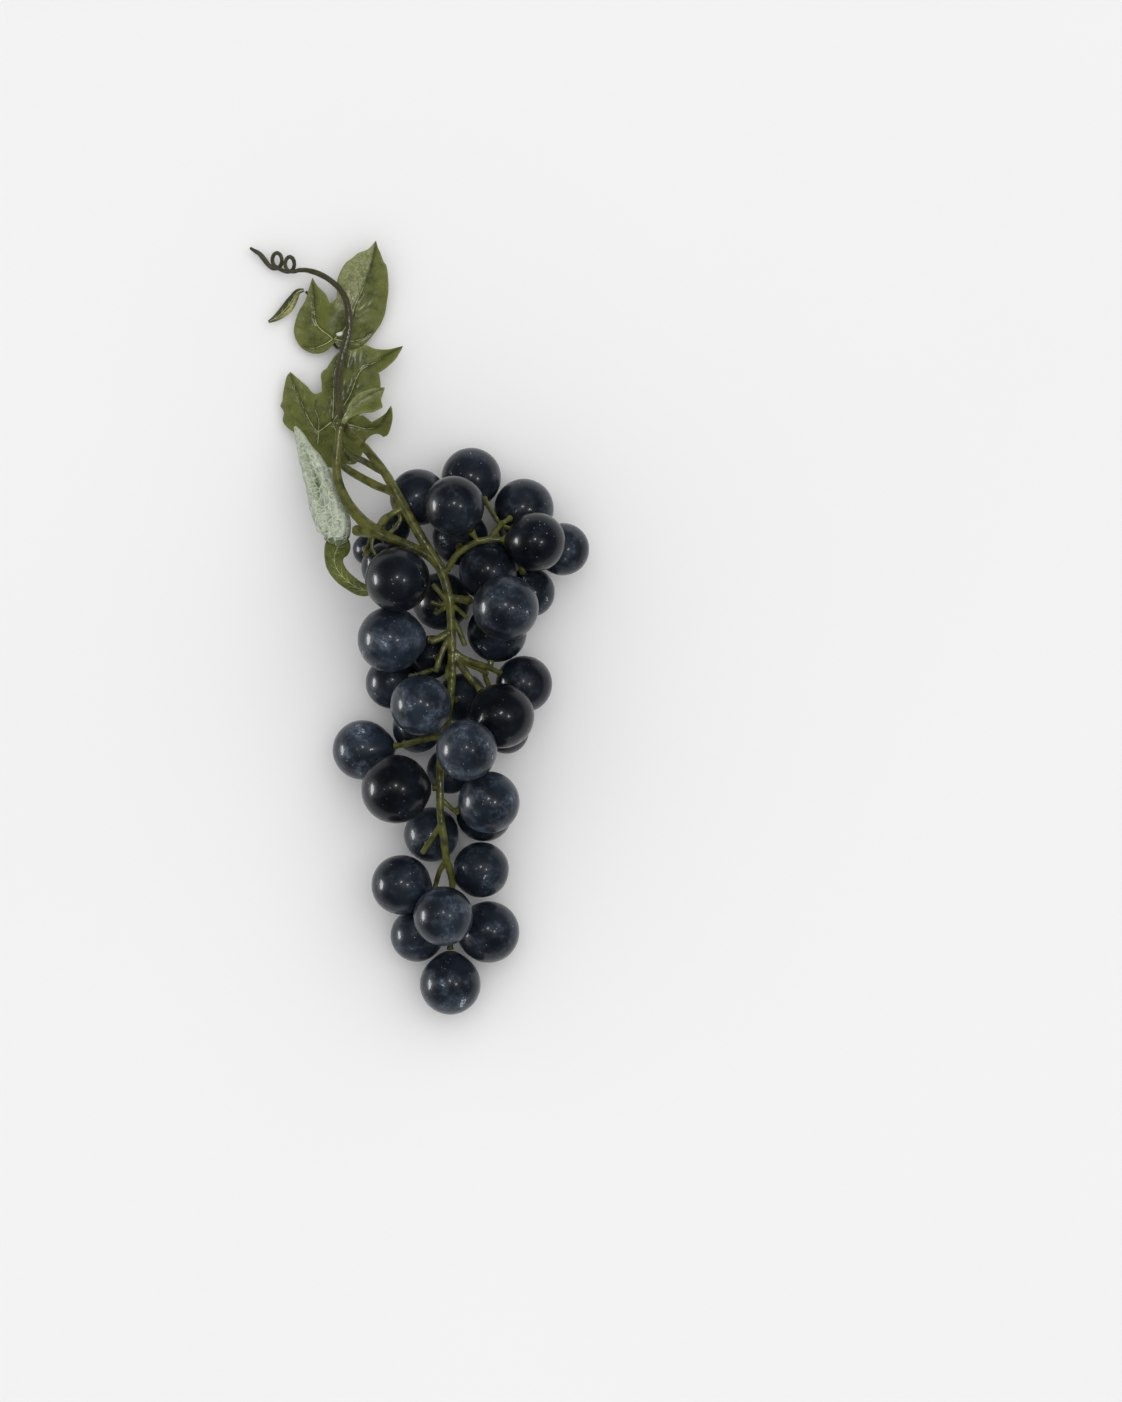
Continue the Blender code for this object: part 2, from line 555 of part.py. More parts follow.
def build():
    clear_scene()
    bunch = new_collection("bunch_of_grapes")
    helpers = new_collection("helpers")
    helpers.hide_render = True
    skin = make_material("berry_skin", SKIN_COLOR, 0.35)
    wood = make_material("stem_bark", STEM_COLOR, 0.4)
    green = make_material("leaf_green", LEAF_COLOR, 0.5)
    pale = make_material("leaf_underside", PALE_LEAF_COLOR, 0.5)

    drawn = [branch_points(MAIN_STEM)] + [branch_points(branch) for branch in BRANCHES]
    close = [branch_points(branch, 6) for branch in (MAIN_STEM, *BRANCHES)]
    stem_balls = [(row[:3], row[3] + GAP / 2) for rows in close for row in rows]
    berries = settle_berries(stem_balls)
    # A stalk starts inside a branch: never at its very end, where two caps would meet.
    growing = np.array([row[:3] for rows in drawn for row in rows[:-1] if row[1] < place(0, 500, 0)[1]])
    stalks = [lead_stalk(index, berries, growing) for index in range(len(berries))]

    for number, berry in enumerate(berries, 1):
        object_of(f"berry_{number:02d}", berry_mesh(berry), bunch, skin)
        if berry["overlap"] > 0.1 * MM:
            print(f"berry_{number:02d}: its stalk is {berry['overlap'] * 1000:.2f} mm short of room")
    tubes = [tube(f"branch_{i}", rows, helpers, 2 if i < 2 else 1) for i, rows in enumerate(drawn)]
    tubes += [tube(f"stalk_{i}", rows, helpers, 1) for i, rows in enumerate(stalks)]
    join_all("stem", tubes, helpers, bunch, wood)

    object_of("lobed_leaf", thick_mesh(*cut_sheet(LOBED_LEAF, LOBED_MARKS)), bunch, green)
    object_of("toothed_leaf", thick_mesh(*cut_sheet(TOOTHED_LEAF, TOOTHED_MARKS)), bunch, green)
    object_of("folded_leaf", thick_mesh(*cut_sheet(FOLDED_LEAF, FOLDED_MARKS, 3 * MM)), bunch, green)
    object_of("young_leaf", thick_mesh(*rolled_sheet(YOUNG_LEAF, 70, 0.8, 4)), bunch, green)
    roll = object_of("roll", thick_mesh(*rolled_sheet(ROLLED_LEAF, 100, 0.75, 8)), helpers)
    hook = object_of("hook", thick_mesh(*rolled_sheet(HOOK_LOBE, 45, 0.8, 4)), helpers)
    join_all("rolled_leaf", [roll, hook], helpers, bunch, pale)
    bpy.data.collections.remove(helpers)
    heights = [berry["centre"][2] * 1000 for berry in berries]
    print("berry heights, mm:", " ".join(f"{height:.1f}" for height in heights))


build()
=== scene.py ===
# %% [markdown]
# A bunch of blue grapes, lying on a pale table and seen from straight above.
# The CAD model gives every piece its place and size. This lesson dresses it: fine round berries with
# bloom on their skin, a smooth branching stem, and leaves with veins.
# The first cell loads the CAD model, in metres, with +Z up and +Y along the bunch towards its shoot.

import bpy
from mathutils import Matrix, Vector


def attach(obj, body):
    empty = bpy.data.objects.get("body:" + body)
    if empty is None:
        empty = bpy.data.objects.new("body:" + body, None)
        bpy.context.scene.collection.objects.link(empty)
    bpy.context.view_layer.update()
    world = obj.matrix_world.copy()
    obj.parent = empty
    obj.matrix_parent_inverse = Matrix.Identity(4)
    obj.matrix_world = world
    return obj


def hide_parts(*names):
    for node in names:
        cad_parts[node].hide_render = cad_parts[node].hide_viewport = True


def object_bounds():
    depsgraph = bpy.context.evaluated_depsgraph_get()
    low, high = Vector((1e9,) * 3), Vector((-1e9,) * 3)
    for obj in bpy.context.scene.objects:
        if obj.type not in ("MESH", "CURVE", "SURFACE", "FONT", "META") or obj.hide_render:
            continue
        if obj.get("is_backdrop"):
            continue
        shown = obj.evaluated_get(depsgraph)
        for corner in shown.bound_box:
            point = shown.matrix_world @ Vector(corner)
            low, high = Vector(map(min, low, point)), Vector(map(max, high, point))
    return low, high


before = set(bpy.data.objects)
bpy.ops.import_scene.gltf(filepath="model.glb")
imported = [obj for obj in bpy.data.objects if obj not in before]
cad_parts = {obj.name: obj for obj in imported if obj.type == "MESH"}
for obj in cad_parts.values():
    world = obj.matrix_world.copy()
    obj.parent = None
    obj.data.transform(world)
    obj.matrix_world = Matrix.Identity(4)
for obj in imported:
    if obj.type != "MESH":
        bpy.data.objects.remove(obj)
cad_low, cad_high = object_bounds()
print("CAD box, m:", [round(v, 4) for v in cad_low], [round(v, 4) for v in cad_high])

# %% [markdown]
# Everything that follows is plain Blender Python. Positions that were read are kept on one grid,
# where a step is 0.4 mm, x runs to the right and y runs down. One function turns them into metres.

# %% The reading grid
import math

import bmesh
import bpy
import numpy as np
from mathutils import Vector, noise
from mathutils.geometry import delaunay_2d_cdt

MM = 0.001
STEP = 0.4 * MM
GRID_CENTRE = (418.84, 627.39)
EDGE = 0.01 * MM  # how far the dressing stays inside the sides of the CAD box


def place(x, y, height=0.0):
    """A point read on the grid, in metres, with its height given in mm."""
    return np.array(((x - GRID_CENTRE[0]) * STEP, (GRID_CENTRE[1] - y) * STEP, height * MM))


def keep_inside(spot):
    """The spot, moved into the CAD box where it stands out of it by a hair."""
    return Vector([min(max(v, low + EDGE), high - EDGE) for v, low, high in zip(spot, cad_low, cad_high)])


print("the tip of the tendril is at", place(248, 245).round(4))

# %% [markdown]
# Small helpers for shader nodes come next. A node tree is easier to read in Python when each line adds one
# node and says what feeds it, so `add` makes a node, sets its plain values and links the rest.

# %% Helpers for shader nodes
def feed(tree, socket, value):
    """Links the value where it is a socket, and otherwise sets it on the input. A colour gets its alpha."""
    if isinstance(value, bpy.types.NodeSocket):
        tree.links.new(value, socket)
    elif socket.type == "RGBA":
        socket.default_value = (*value, 1)
    else:
        socket.default_value = value


def feed_all(tree, node, inputs):
    for name, value in inputs.items():
        feed(tree, node.inputs[name.replace("_", " ")], value)


def add(tree, kind, label="", **inputs):
    """Adds a node and feeds its inputs, which are given by name."""
    node = tree.nodes.new(kind)
    node.label = label
    feed_all(tree, node, inputs)
    return node


def texture(tree, kind, label, vector, scale, **more):
    return add(tree, "ShaderNodeTex" + kind, label, Vector=vector, Scale=scale, **more)


def ramp(tree, value, low, high):
    """A smooth mask: 0 where value is below low, 1 where it is above high."""
    node = tree.nodes.new("ShaderNodeMapRange")
    node.interpolation_type = "SMOOTHSTEP"
    feed_all(tree, node, {"Value": value, "From Min": low, "From Max": high})
    return node.outputs["Result"]


def calculate(tree, operation, first, second=0.0):
    node = tree.nodes.new("ShaderNodeMath")
    node.operation = operation
    feed(tree, node.inputs[0], first)
    feed(tree, node.inputs[1], second)
    return node.outputs[0]


def times(tree, first, second):
    return calculate(tree, "MULTIPLY", first, second)


def scaled(tree, value, factor, base):
    """The value times the factor, plus the base."""
    return calculate(tree, "ADD", times(tree, value, factor), base)


def inverse(tree, value):
    return calculate(tree, "SUBTRACT", 1.0, value)


def pushed(tree, vector, noise_node, amount):
    """The vector, pushed about by the colours of a noise."""
    node = tree.nodes.new("ShaderNodeVectorMath")
    node.operation = "MULTIPLY_ADD"
    for socket, value in zip(node.inputs, (noise_node.outputs["Color"], (amount,) * 3, vector)):
        feed(tree, socket, value)
    return node.outputs[0]


def blend_colors(tree, share, first, second):
    """first where share is 0 and second where it is 1."""
    node = tree.nodes.new("ShaderNodeMix")
    node.data_type = "RGBA"
    for socket, value in zip((node.inputs[0], node.inputs[6], node.inputs[7]), (share, first, second)):
        feed(tree, socket, value)
    return node.outputs[2]


def new_group(name, inputs, outputs):
    """An empty node group. inputs gives each socket's default value, or None for a vector."""
    group = bpy.data.node_groups.new(name, "ShaderNodeTree")
    for title, default in inputs.items():
        kind = "NodeSocketVector" if default is None else "NodeSocketFloat"
        socket = group.interface.new_socket(name=title, in_out="INPUT", socket_type=kind)
        if default is not None:
            socket.default_value = default
    for title in outputs:
        group.interface.new_socket(name=title, in_out="OUTPUT", socket_type="NodeSocketFloat")
    return group, group.nodes.new("NodeGroupInput"), group.nodes.new("NodeGroupOutput")


print("shader helpers ready")

# %% [markdown]
# Grapes carry bloom, a thin coat of wax that looks grey-blue. It is patchy: clouds of it a few millimetres
# wide, rubbed thin where fingers touched, with pin-point specks. One way is to paint it. A node group is
# better here, because the same clouds then run over every berry without a seam or a texture file.
# The stem and the leaves are dusty in the same way, so they use this group too, with less of it.

# %% The bloom group
def make_bloom_group():
    given_values = {"Vector": None, "Cloud Size": 150.0, "Amount": 0.5}
    group, given, result = new_group("patchy_bloom", given_values, ["Mask", "Specks", "Scuffs"])
    vector, size = given.outputs["Vector"], given.outputs["Cloud Size"]
    clouds = texture(group, "Noise", "clouds", vector, size, Detail=5.0, Roughness=0.62)
    finer = times(group, size, 5.0)
    mottle = texture(group, "Noise", "mottle", vector, finer, Detail=3.0, Roughness=0.6)
    cloud_mask = ramp(group, clouds.outputs["Fac"], 0.42, 0.74)
    broken = scaled(group, ramp(group, mottle.outputs["Fac"], 0.40, 0.60), 0.65, 0.30)
    mask = times(group, times(group, cloud_mask, broken), given.outputs["Amount"])
    dots = texture(group, "Voronoi", "dots", vector, times(group, size, 4.0))
    dot_mask = inverse(group, ramp(group, dots.outputs["Distance"], 0.05, 0.12))
    some = texture(group, "Noise", "some", vector, times(group, size, 1.7))
    few = ramp(group, some.outputs["Fac"], 0.52, 0.57)
    bent = pushed(group, vector, mottle, 0.003)
    lines = texture(group, "Voronoi", "lines", bent, times(group, size, 4.0))
    lines.feature = "DISTANCE_TO_EDGE"
    line_mask = inverse(group, ramp(group, lines.outputs["Distance"], 0.03, 0.09))
    spot = ramp(group, clouds.outputs["Fac"], 0.66, 0.70)
    feed(group, result.inputs["Mask"], mask)
    feed(group, result.inputs["Specks"], times(group, dot_mask, few))
    feed(group, result.inputs["Scuffs"], times(group, line_mask, spot))
    return group


bloom_group = make_bloom_group()
print("group:", bloom_group.name)

# %% [markdown]
# Skin, stem and leaf all have a fine uneven grain that breaks up a highlight. It is one small group of
# two noises, and each material gives it its own size.

# %% The grain group
def make_grain_group():
    given_values = {"Vector": None, "Grain Size": 900.0, "Softness": 0.5}
    group, given, result = new_group("fine_grain", given_values, ["Height"])
    vector, size = given.outputs["Vector"], given.outputs["Grain Size"]
    wide = times(group, size, 0.25)
    coarse = texture(group, "Noise", "coarse", vector, wide, Detail=2.0)
    fine = texture(group, "Noise", "fine", vector, size, Detail=3.0, Roughness=0.6)
    mix = group.nodes.new("ShaderNodeMix")
    feed(group, mix.inputs[0], given.outputs["Softness"])
    feed(group, mix.inputs[2], fine.outputs["Fac"])
    feed(group, mix.inputs[3], coarse.outputs["Fac"])
    feed(group, result.inputs["Height"], mix.outputs[0])
    return group


grain_group = make_grain_group()
print("group:", grain_group.name)

# %% [markdown]
# A leaf shows a net of tiny veins between its ribs. The edges of a Voronoi pattern look just like it:
# a wide mesh of cells, with a finer one inside. The group gives it as a mask, for colour and for height.

# %% The vein net group
NET_LEVELS = ((1.0, 1.0), (2.4, 0.28))  # how many times finer than the wide mesh, and how strong


def make_net_group():
    given_values = {"Vector": None, "Cells": 420.0, "Line Width": 0.08}
    group, given, result = new_group("vein_net", given_values, ["Lines"])
    vector = given.outputs["Vector"]
    wobble = texture(group, "Noise", "wobble", vector, 400.0, Detail=1.0)
    shifted = pushed(group, vector, wobble, 0.0012)
    masks = []
    for finer, share in NET_LEVELS:
        size = times(group, given.outputs["Cells"], finer)
        cells = texture(group, "Voronoi", "cells", shifted, size)
        cells.feature = "DISTANCE_TO_EDGE"
        near = calculate(group, "DIVIDE", cells.outputs["Distance"], given.outputs["Line Width"])
        masks.append(times(group, inverse(group, ramp(group, near, 0.0, 1.0)), share))
    feed(group, result.inputs["Lines"], calculate(group, "MAXIMUM", *masks))
    return group


net_group = make_net_group()
print("group:", net_group.name)

# %% [markdown]
# The skin of a dark grape is nearly black, with a blue tint. Most of what the eye sees on it is bloom and
# reflected light. The shader is a dark base under a thin gloss coat: bloom lightens the base and dulls it.
# Each berry stores how much bloom it has, and how far each point is from its stalk, as mesh attributes.

# %% The berry skin
def attribute(tree, name):
    node = tree.nodes.new("ShaderNodeAttribute")
    node.attribute_name = name
    return node.outputs["Fac"]


def use_group(tree, group, **inputs):
    node = tree.nodes.new("ShaderNodeGroup")
    node.node_tree = group
    feed_all(tree, node, inputs)
    return node


def start_material(name):
    material = bpy.data.materials.new(name)
    material.use_nodes = True
    tree = material.node_tree
    shader = tree.nodes["Principled BSDF"]
    where = tree.nodes.new("ShaderNodeTexCoord").outputs["Object"]
    return material, tree, shader, where


def add_bump(tree, shader, height, strength, distance):
    bump = add(tree, "ShaderNodeBump", Strength=strength, Distance=distance, Height=height)
    feed(tree, shader.inputs["Normal"], bump.outputs["Normal"])


SKIN_DARK = (0.0012, 0.0016, 0.0028)
SKIN_LIT = (0.0040, 0.0052, 0.0082)
VEIL_COLOR = (0.023, 0.032, 0.048)
BLOOM_COLOR = (0.100, 0.130, 0.172)
DUST_COLOR = (0.32, 0.37, 0.42)
SCAR_COLOR = (0.006, 0.006, 0.007)
SKIN_GLOSS = {"Specular IOR Level": 0.16, "Coat Weight": 0.55, "Coat IOR": 1.24, "Coat Roughness": 0.10}


def make_skin():
    material, tree, shader, where = start_material("berry_skin_bloomed")
    amount = attribute(tree, "bloom")
    bloom = use_group(tree, bloom_group, Vector=where, Cloud_Size=130.0, Amount=amount)
    grain = use_group(tree, grain_group, Vector=where, Grain_Size=1500.0, Softness=0.5)
    depth = texture(tree, "Noise", "depth", where, 60.0, Detail=2.0)
    base = blend_colors(tree, ramp(tree, depth.outputs["Fac"], 0.35, 0.65), SKIN_DARK, SKIN_LIT)
    cover = scaled(tree, ramp(tree, depth.outputs["Fac"], 0.30, 0.62), 0.6, 0.4)
    veil = times(tree, times(tree, cover, amount), 0.75)
    base = blend_colors(tree, veil, base, VEIL_COLOR)
    base = blend_colors(tree, times(tree, bloom.outputs["Mask"], 0.70), base, BLOOM_COLOR)
    dust = calculate(tree, "MAXIMUM", bloom.outputs["Specks"], times(tree, bloom.outputs["Scuffs"], 1.4))
    base = blend_colors(tree, times(tree, dust, 0.90), base, DUST_COLOR)
    scar = ramp(tree, attribute(tree, "from_stalk"), 3.09, 3.12)
    feed(tree, shader.inputs["Base Color"], blend_colors(tree, scar, base, SCAR_COLOR))
    feed(tree, shader.inputs["Roughness"], scaled(tree, bloom.outputs["Mask"], 0.20, 0.33))
    feed_all(tree, shader, SKIN_GLOSS)
    add_bump(tree, shader, grain.outputs["Height"], 0.10, 0.0003)
    return material


skin = make_skin()
print("material:", skin.name)

# %% [markdown]
# The shoot's bark is a waxy olive green, and it turns grey-brown towards the tendril. The change of colour
# follows the place along the bunch, so the shader reads the Y coordinate. Darker flecks lie along it. On the
# short stub near the base of the lobed leaf, a near-white patch is a painted highlight.

# %% The stem's bark
STEM_GREEN = (0.098, 0.102, 0.019)
STEM_DEEP = (0.040, 0.043, 0.010)
STEM_BROWN = (0.046, 0.043, 0.021)
STEM_PALE = (0.17, 0.17, 0.08)
# The painted highlight on the stub: its near-white colour, and its place on the stem.
STUB_PAINTED_GLARE = (0.60, 0.61, 0.54)
PAINTED_GLARE_PLACE = tuple(place(338.5, 331.5, 11.0))
BARK_GLOSS = {"Specular IOR Level": 0.12, "Coat Weight": 0.55, "Coat IOR": 1.45, "Coat Roughness": 0.18}


def make_bark():
    material, tree, shader, where = start_material("stem_bark_waxy")
    axes = add(tree, "ShaderNodeSeparateXYZ", "place", Vector=where)
    grain = use_group(tree, grain_group, Vector=where, Grain_Size=1100.0, Softness=0.55)
    dust = use_group(tree, bloom_group, Vector=where, Cloud_Size=260.0, Amount=0.25)
    patches = texture(tree, "Noise", "patches", where, 230.0, Detail=3.0)
    base = blend_colors(tree, ramp(tree, patches.outputs["Fac"], 0.40, 0.66), STEM_GREEN, STEM_DEEP)
    base = blend_colors(tree, ramp(tree, axes.outputs["Y"], 0.072, 0.100), base, STEM_BROWN)
    base = blend_colors(tree, dust.outputs["Mask"], base, STEM_PALE)
    # Painted highlight: the bark turns near-white within about 1 to 2 mm of that place.
    to_painted_glare = tree.nodes.new("ShaderNodeVectorMath")
    to_painted_glare.operation = "DISTANCE"
    feed(tree, to_painted_glare.inputs[0], where)
    feed(tree, to_painted_glare.inputs[1], PAINTED_GLARE_PLACE)
    painted_glare_mask = inverse(tree, ramp(tree, to_painted_glare.outputs["Value"], 0.0010, 0.0022))
    feed(tree, shader.inputs["Base Color"], blend_colors(tree, painted_glare_mask, base, STUB_PAINTED_GLARE))
    feed(tree, shader.inputs["Roughness"], scaled(tree, grain.outputs["Height"], 0.2, 0.34))
    feed_all(tree, shader, BARK_GLOSS)
    add_bump(tree, shader, grain.outputs["Height"], 0.12, 0.0004)
    return material


bark = make_bark()
print("material:", bark.name)

# %% [markdown]
# The leaves are olive green, yellower towards the margin, with a paler net of veins and a waxy shine.
# One maker function serves all of them: only the colours and the strength of the net differ. Each blade
# stores three attributes: rim is 1 at the margin; pale is 1 where the blade is lighter, a real tone on the
# young leaf's belly and on the rolled underside, where painted highlights and shade vary it, and a painted
# sheen on the green blades; fold is 1 in the crease beside a rib and in the rolled leaf's crack, where shade
# is painted dark.

# %% The leaf finishes
LEAF_GREEN = (0.108, 0.124, 0.022)
LEAF_DARK = (0.046, 0.062, 0.010)
LEAF_YELLOW = (0.210, 0.225, 0.055)
LEAF_PAINTED_SHEEN = (0.360, 0.380, 0.215)
LEAF_PAINTED_CREASE_SHADE = (0.022, 0.030, 0.007)
LEAF_DUST = (0.36, 0.40, 0.26)
UNDERSIDE_SILVER = (0.440, 0.480, 0.375)
LEAF_GLOSS = {"Specular IOR Level": 0.15, "Coat Weight": 0.28, "Coat Roughness": 0.20}


def make_leaf_finish(name, main, dark, pale_tone_and_sheen, net_color, net_share, net_height, cells):
    material, tree, shader, where = start_material(name)
    net = use_group(tree, net_group, Vector=where, Cells=cells, Line_Width=0.09).outputs["Lines"]
    grain = use_group(tree, grain_group, Vector=where, Grain_Size=1300.0, Softness=0.4).outputs["Height"]
    dust = use_group(tree, bloom_group, Vector=where, Cloud_Size=260.0, Amount=0.10)
    patches = texture(tree, "Noise", "patches", where, 170.0, Detail=4.0, Roughness=0.6)
    base = blend_colors(tree, ramp(tree, patches.outputs["Fac"], 0.40, 0.68), main, dark)
    mottled = scaled(tree, ramp(tree, grain, 0.40, 0.60), 0.65, 0.40)
    # The pale blend: a painted sheen on the green blades, a real paler tone on the underside and the belly.
    base = blend_colors(tree, times(tree, attribute(tree, "pale"), mottled), base, pale_tone_and_sheen)
    base = blend_colors(tree, times(tree, attribute(tree, "rim"), 0.75), base, LEAF_YELLOW)
    base = blend_colors(tree, times(tree, net, net_share), base, net_color)
    # Painted shade: the fold attribute darkens the crease beside each main rib and the rolled leaf's crack.
    base = blend_colors(tree, times(tree, attribute(tree, "fold"), 0.70), base, LEAF_PAINTED_CREASE_SHADE)
    feed(tree, shader.inputs["Base Color"], blend_colors(tree, dust.outputs["Mask"], base, LEAF_DUST))
    feed(tree, shader.inputs["Roughness"], scaled(tree, grain, 0.3, 0.36))
    feed_all(tree, shader, LEAF_GLOSS)
    height = calculate(tree, "ADD", times(tree, net, net_height), times(tree, grain, 0.5))
    add_bump(tree, shader, height, 0.5, 0.0004)
    return material


green_leaf = make_leaf_finish(
    "leaf_green_veined", LEAF_GREEN, LEAF_DARK, LEAF_PAINTED_SHEEN, LEAF_YELLOW, 0.30, 0.8, 520.0
)
silver_leaf = make_leaf_finish(
    "leaf_underside_netted", (0.090, 0.125, 0.045), (0.048, 0.072, 0.020), UNDERSIDE_SILVER,
    (0.62, 0.67, 0.55), 0.85, 2.6, 300.0,
)
young_skin = make_leaf_finish(
    "leaf_young_waxy", (0.060, 0.062, 0.020), (0.034, 0.036, 0.012), (0.46, 0.44, 0.14),
    LEAF_YELLOW, 0.1, 0.3, 520.0,
)
vein_pale = make_leaf_finish(
    "leaf_vein", (0.46, 0.49, 0.25), (0.30, 0.33, 0.15), LEAF_PAINTED_SHEEN, LEAF_YELLOW, 0.1, 0.1, 520.0
)
vein_white = make_leaf_finish(
    "leaf_underside_vein", (0.50, 0.55, 0.42), (0.40, 0.45, 0.32), LEAF_PAINTED_SHEEN, LEAF_YELLOW, 0.1, 0.1, 520.0
)
print("materials:", green_leaf.name, silver_leaf.name, young_skin.name, vein_pale.name, vein_white.name)

# %% [markdown]
# Now the berries. The CAD berry is a coarse ball of flat faces, right in size and place. A subdivision
# surface would shrink it, so each is measured instead: the ball that fits its corners gives the centre
# and the radius, and the corner that stands out furthest gives the direction of the stalk.

# %% Measure the CAD berries
FIT_ROUNDS = 4
FIT_TOLERANCE = 0.12 * MM
FIT_SHARE = 0.6  # of the corners, kept whatever the tolerance
TABLE_SKIN = 0.05 * MM  # corners lower than this belong to the flat spot


def fit_ball(points):
    """Centre and radius of the ball through most of the points. Corners that stand off it are left out."""
    kept = points
    for _ in range(FIT_ROUNDS):
        table = np.column_stack((2 * kept, np.ones(len(kept))))
        answer = np.linalg.lstsq(table, (kept**2).sum(axis=1), rcond=None)[0]
        centre = answer[:3]
        radius = math.sqrt(answer[3] + centre @ centre)
        off = np.abs(np.linalg.norm(points - centre, axis=1) - radius)
        kept = points[off < max(FIT_TOLERANCE, np.quantile(off, FIT_SHARE))]
    return centre, radius


def measure_berry(name):
    corners = np.array([vert.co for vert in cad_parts[name].data.vertices])
    centre, radius = fit_ball(corners[corners[:, 2] > TABLE_SKIN])
    far = np.linalg.norm(corners - centre, axis=1)
    apex = corners[far.argmax()]
    neck = (apex - centre) / far.max()
    return {"name": name, "centre": centre, "radius": radius, "neck": neck, "rise": far.max() / radius - 1}


berry_names = sorted(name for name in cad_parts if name.startswith("berry_"))
berries = [measure_berry(name) for name in berry_names]
print(len(berries), "berries, radii in mm:", " ".join(f"{b['radius'] / MM:.1f}" for b in berries))

# %% [markdown]
# A real berry isn't a perfect ball. It swells a little towards its stalk, has a small scar where the
# flower was, and is uneven by a tenth of a millimetre. A berry that rests on the table is pressed flat.
# The shape is made in mesh code from a fine UV sphere whose pole is turned to the stalk.

# %% Shape the berries
BERRY_SIDES = 64
BERRY_RINGS = 44
UNEVEN = 0.10 * MM
LUMPS = 1.6  # lumps of that unevenness over a radius
NOISE_SHIFT = 100  # takes each berry to a stretch of the noise of its own
SCAR_DEPTH = 0.15 * MM
SCAR_REACH = 0.07
COLLAR = 0.12 * MM
COLLAR_ANGLE, COLLAR_REACH = 0.17, 0.05
NECK_REACH, PEAR_REACH = 0.30, 0.45
PEAR_RISE = 0.08
UP = (0, 0, 1)


def neck_angle(rise):
    """How many radians round the stalk the skin rises: wider on a pear-shaped berry."""
    return NECK_REACH if rise < PEAR_RISE else PEAR_REACH


def berry_point(berry, direction):
    """Where the skin is in this direction from the centre, before it is turned to the stalk."""
    angle = direction.angle(UP)
    swell = 1 + berry["rise"] * math.exp(-((angle / neck_angle(berry["rise"])) ** 2))
    shift = Vector(berry["centre"]) * NOISE_SHIFT
    bumps = noise.noise(direction * LUMPS + shift) * UNEVEN
    scar = SCAR_DEPTH * math.exp(-(((math.pi - angle) / SCAR_REACH) ** 2))
    collar = COLLAR * math.exp(-(((angle - COLLAR_ANGLE) / COLLAR_REACH) ** 2))
    return direction * (berry["radius"] * swell + bumps - scar + collar - UNEVEN * 0.5)


def object_of(bm, name, mesh_name):
    """Turns the mesh code's shape into an object of the scene."""
    mesh = bpy.data.meshes.new(mesh_name)
    bm.to_mesh(mesh)
    bm.free()
    obj = bpy.data.objects.new(name, mesh)
    bpy.context.scene.collection.objects.link(obj)
    return obj


def make_berry(berry, bloom):
    bm = bmesh.new()
    bmesh.ops.create_uvsphere(bm, u_segments=BERRY_SIDES, v_segments=BERRY_RINGS, radius=1)
    amount = bm.verts.layers.float.new("bloom")
    away = bm.verts.layers.float.new("from_stalk")
    turn = Vector(UP).rotation_difference(Vector(berry["neck"]))
    for vert in bm.verts:
        direction = vert.co.normalized()
        vert[amount] = bloom
        vert[away] = direction.angle(UP)
        vert.co = turn @ berry_point(berry, direction) + Vector(berry["centre"])
        vert.co = keep_inside(vert.co)
    for face in bm.faces:
        face.smooth = True
    obj = object_of(bm, berry["name"].replace("berry", "grape"), berry["name"] + "_skin")
    obj.data.materials.append(skin)
    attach(obj, "root")
    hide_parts(berry["name"])
    return obj


# How much bloom each berry carries, in the order of their names.
BLOOM = (
    0.6, 0.6, 0.6, 0.50, 0.40, 0.65, 0.8, 0.4, 0.4, 0.5, 0.4, 0.4, 0.45,
    0.35, 0.5, 0.8, 0.3, 0.5, 0.9, 1.3, 0.7, 0.4, 1.1, 0.55, 0.9, 0.6, 0.9,
    1.1, 0.15, 1.3, 0.12, 1.1, 0.15, 0.6, 0.95, 0.9, 0.45, 0.15, 0.65,
)
grapes = [make_berry(berry, bloom) for berry, bloom in zip(berries, BLOOM)]
print(len(grapes), "grapes,", sum(len(g.data.polygons) for g in grapes), "faces")

# %% [markdown]
# The stem forks about forty times. Modelling each fork by hand would take days, and joined tubes show a
# crease at every joint. A voxel remesh of the CAD stem, followed by smoothing, melts the joints together
# as growth does. A little noise pushed along the normals then makes the bark uneven.

# %% The stem
STEM_SWELL = 0.12  # mm that the smoothing takes away, given back
TENDRIL_SWELL = 0.24  # mm more on the thin tendril, which loses more
TENDRIL_START, TENDRIL_FADE = 0.137, 0.004  # metres along Y
BARK_ROUGH = 0.08  # mm, given once to the fine lumps and once to the wide ones
FINE_LUMPS, WIDE_LUMPS = 700, 220  # lumps for each metre
WELD = 0.000002
VOXEL = 0.26 * MM
SMOOTHING, SMOOTH_ROUNDS = 0.5, 7


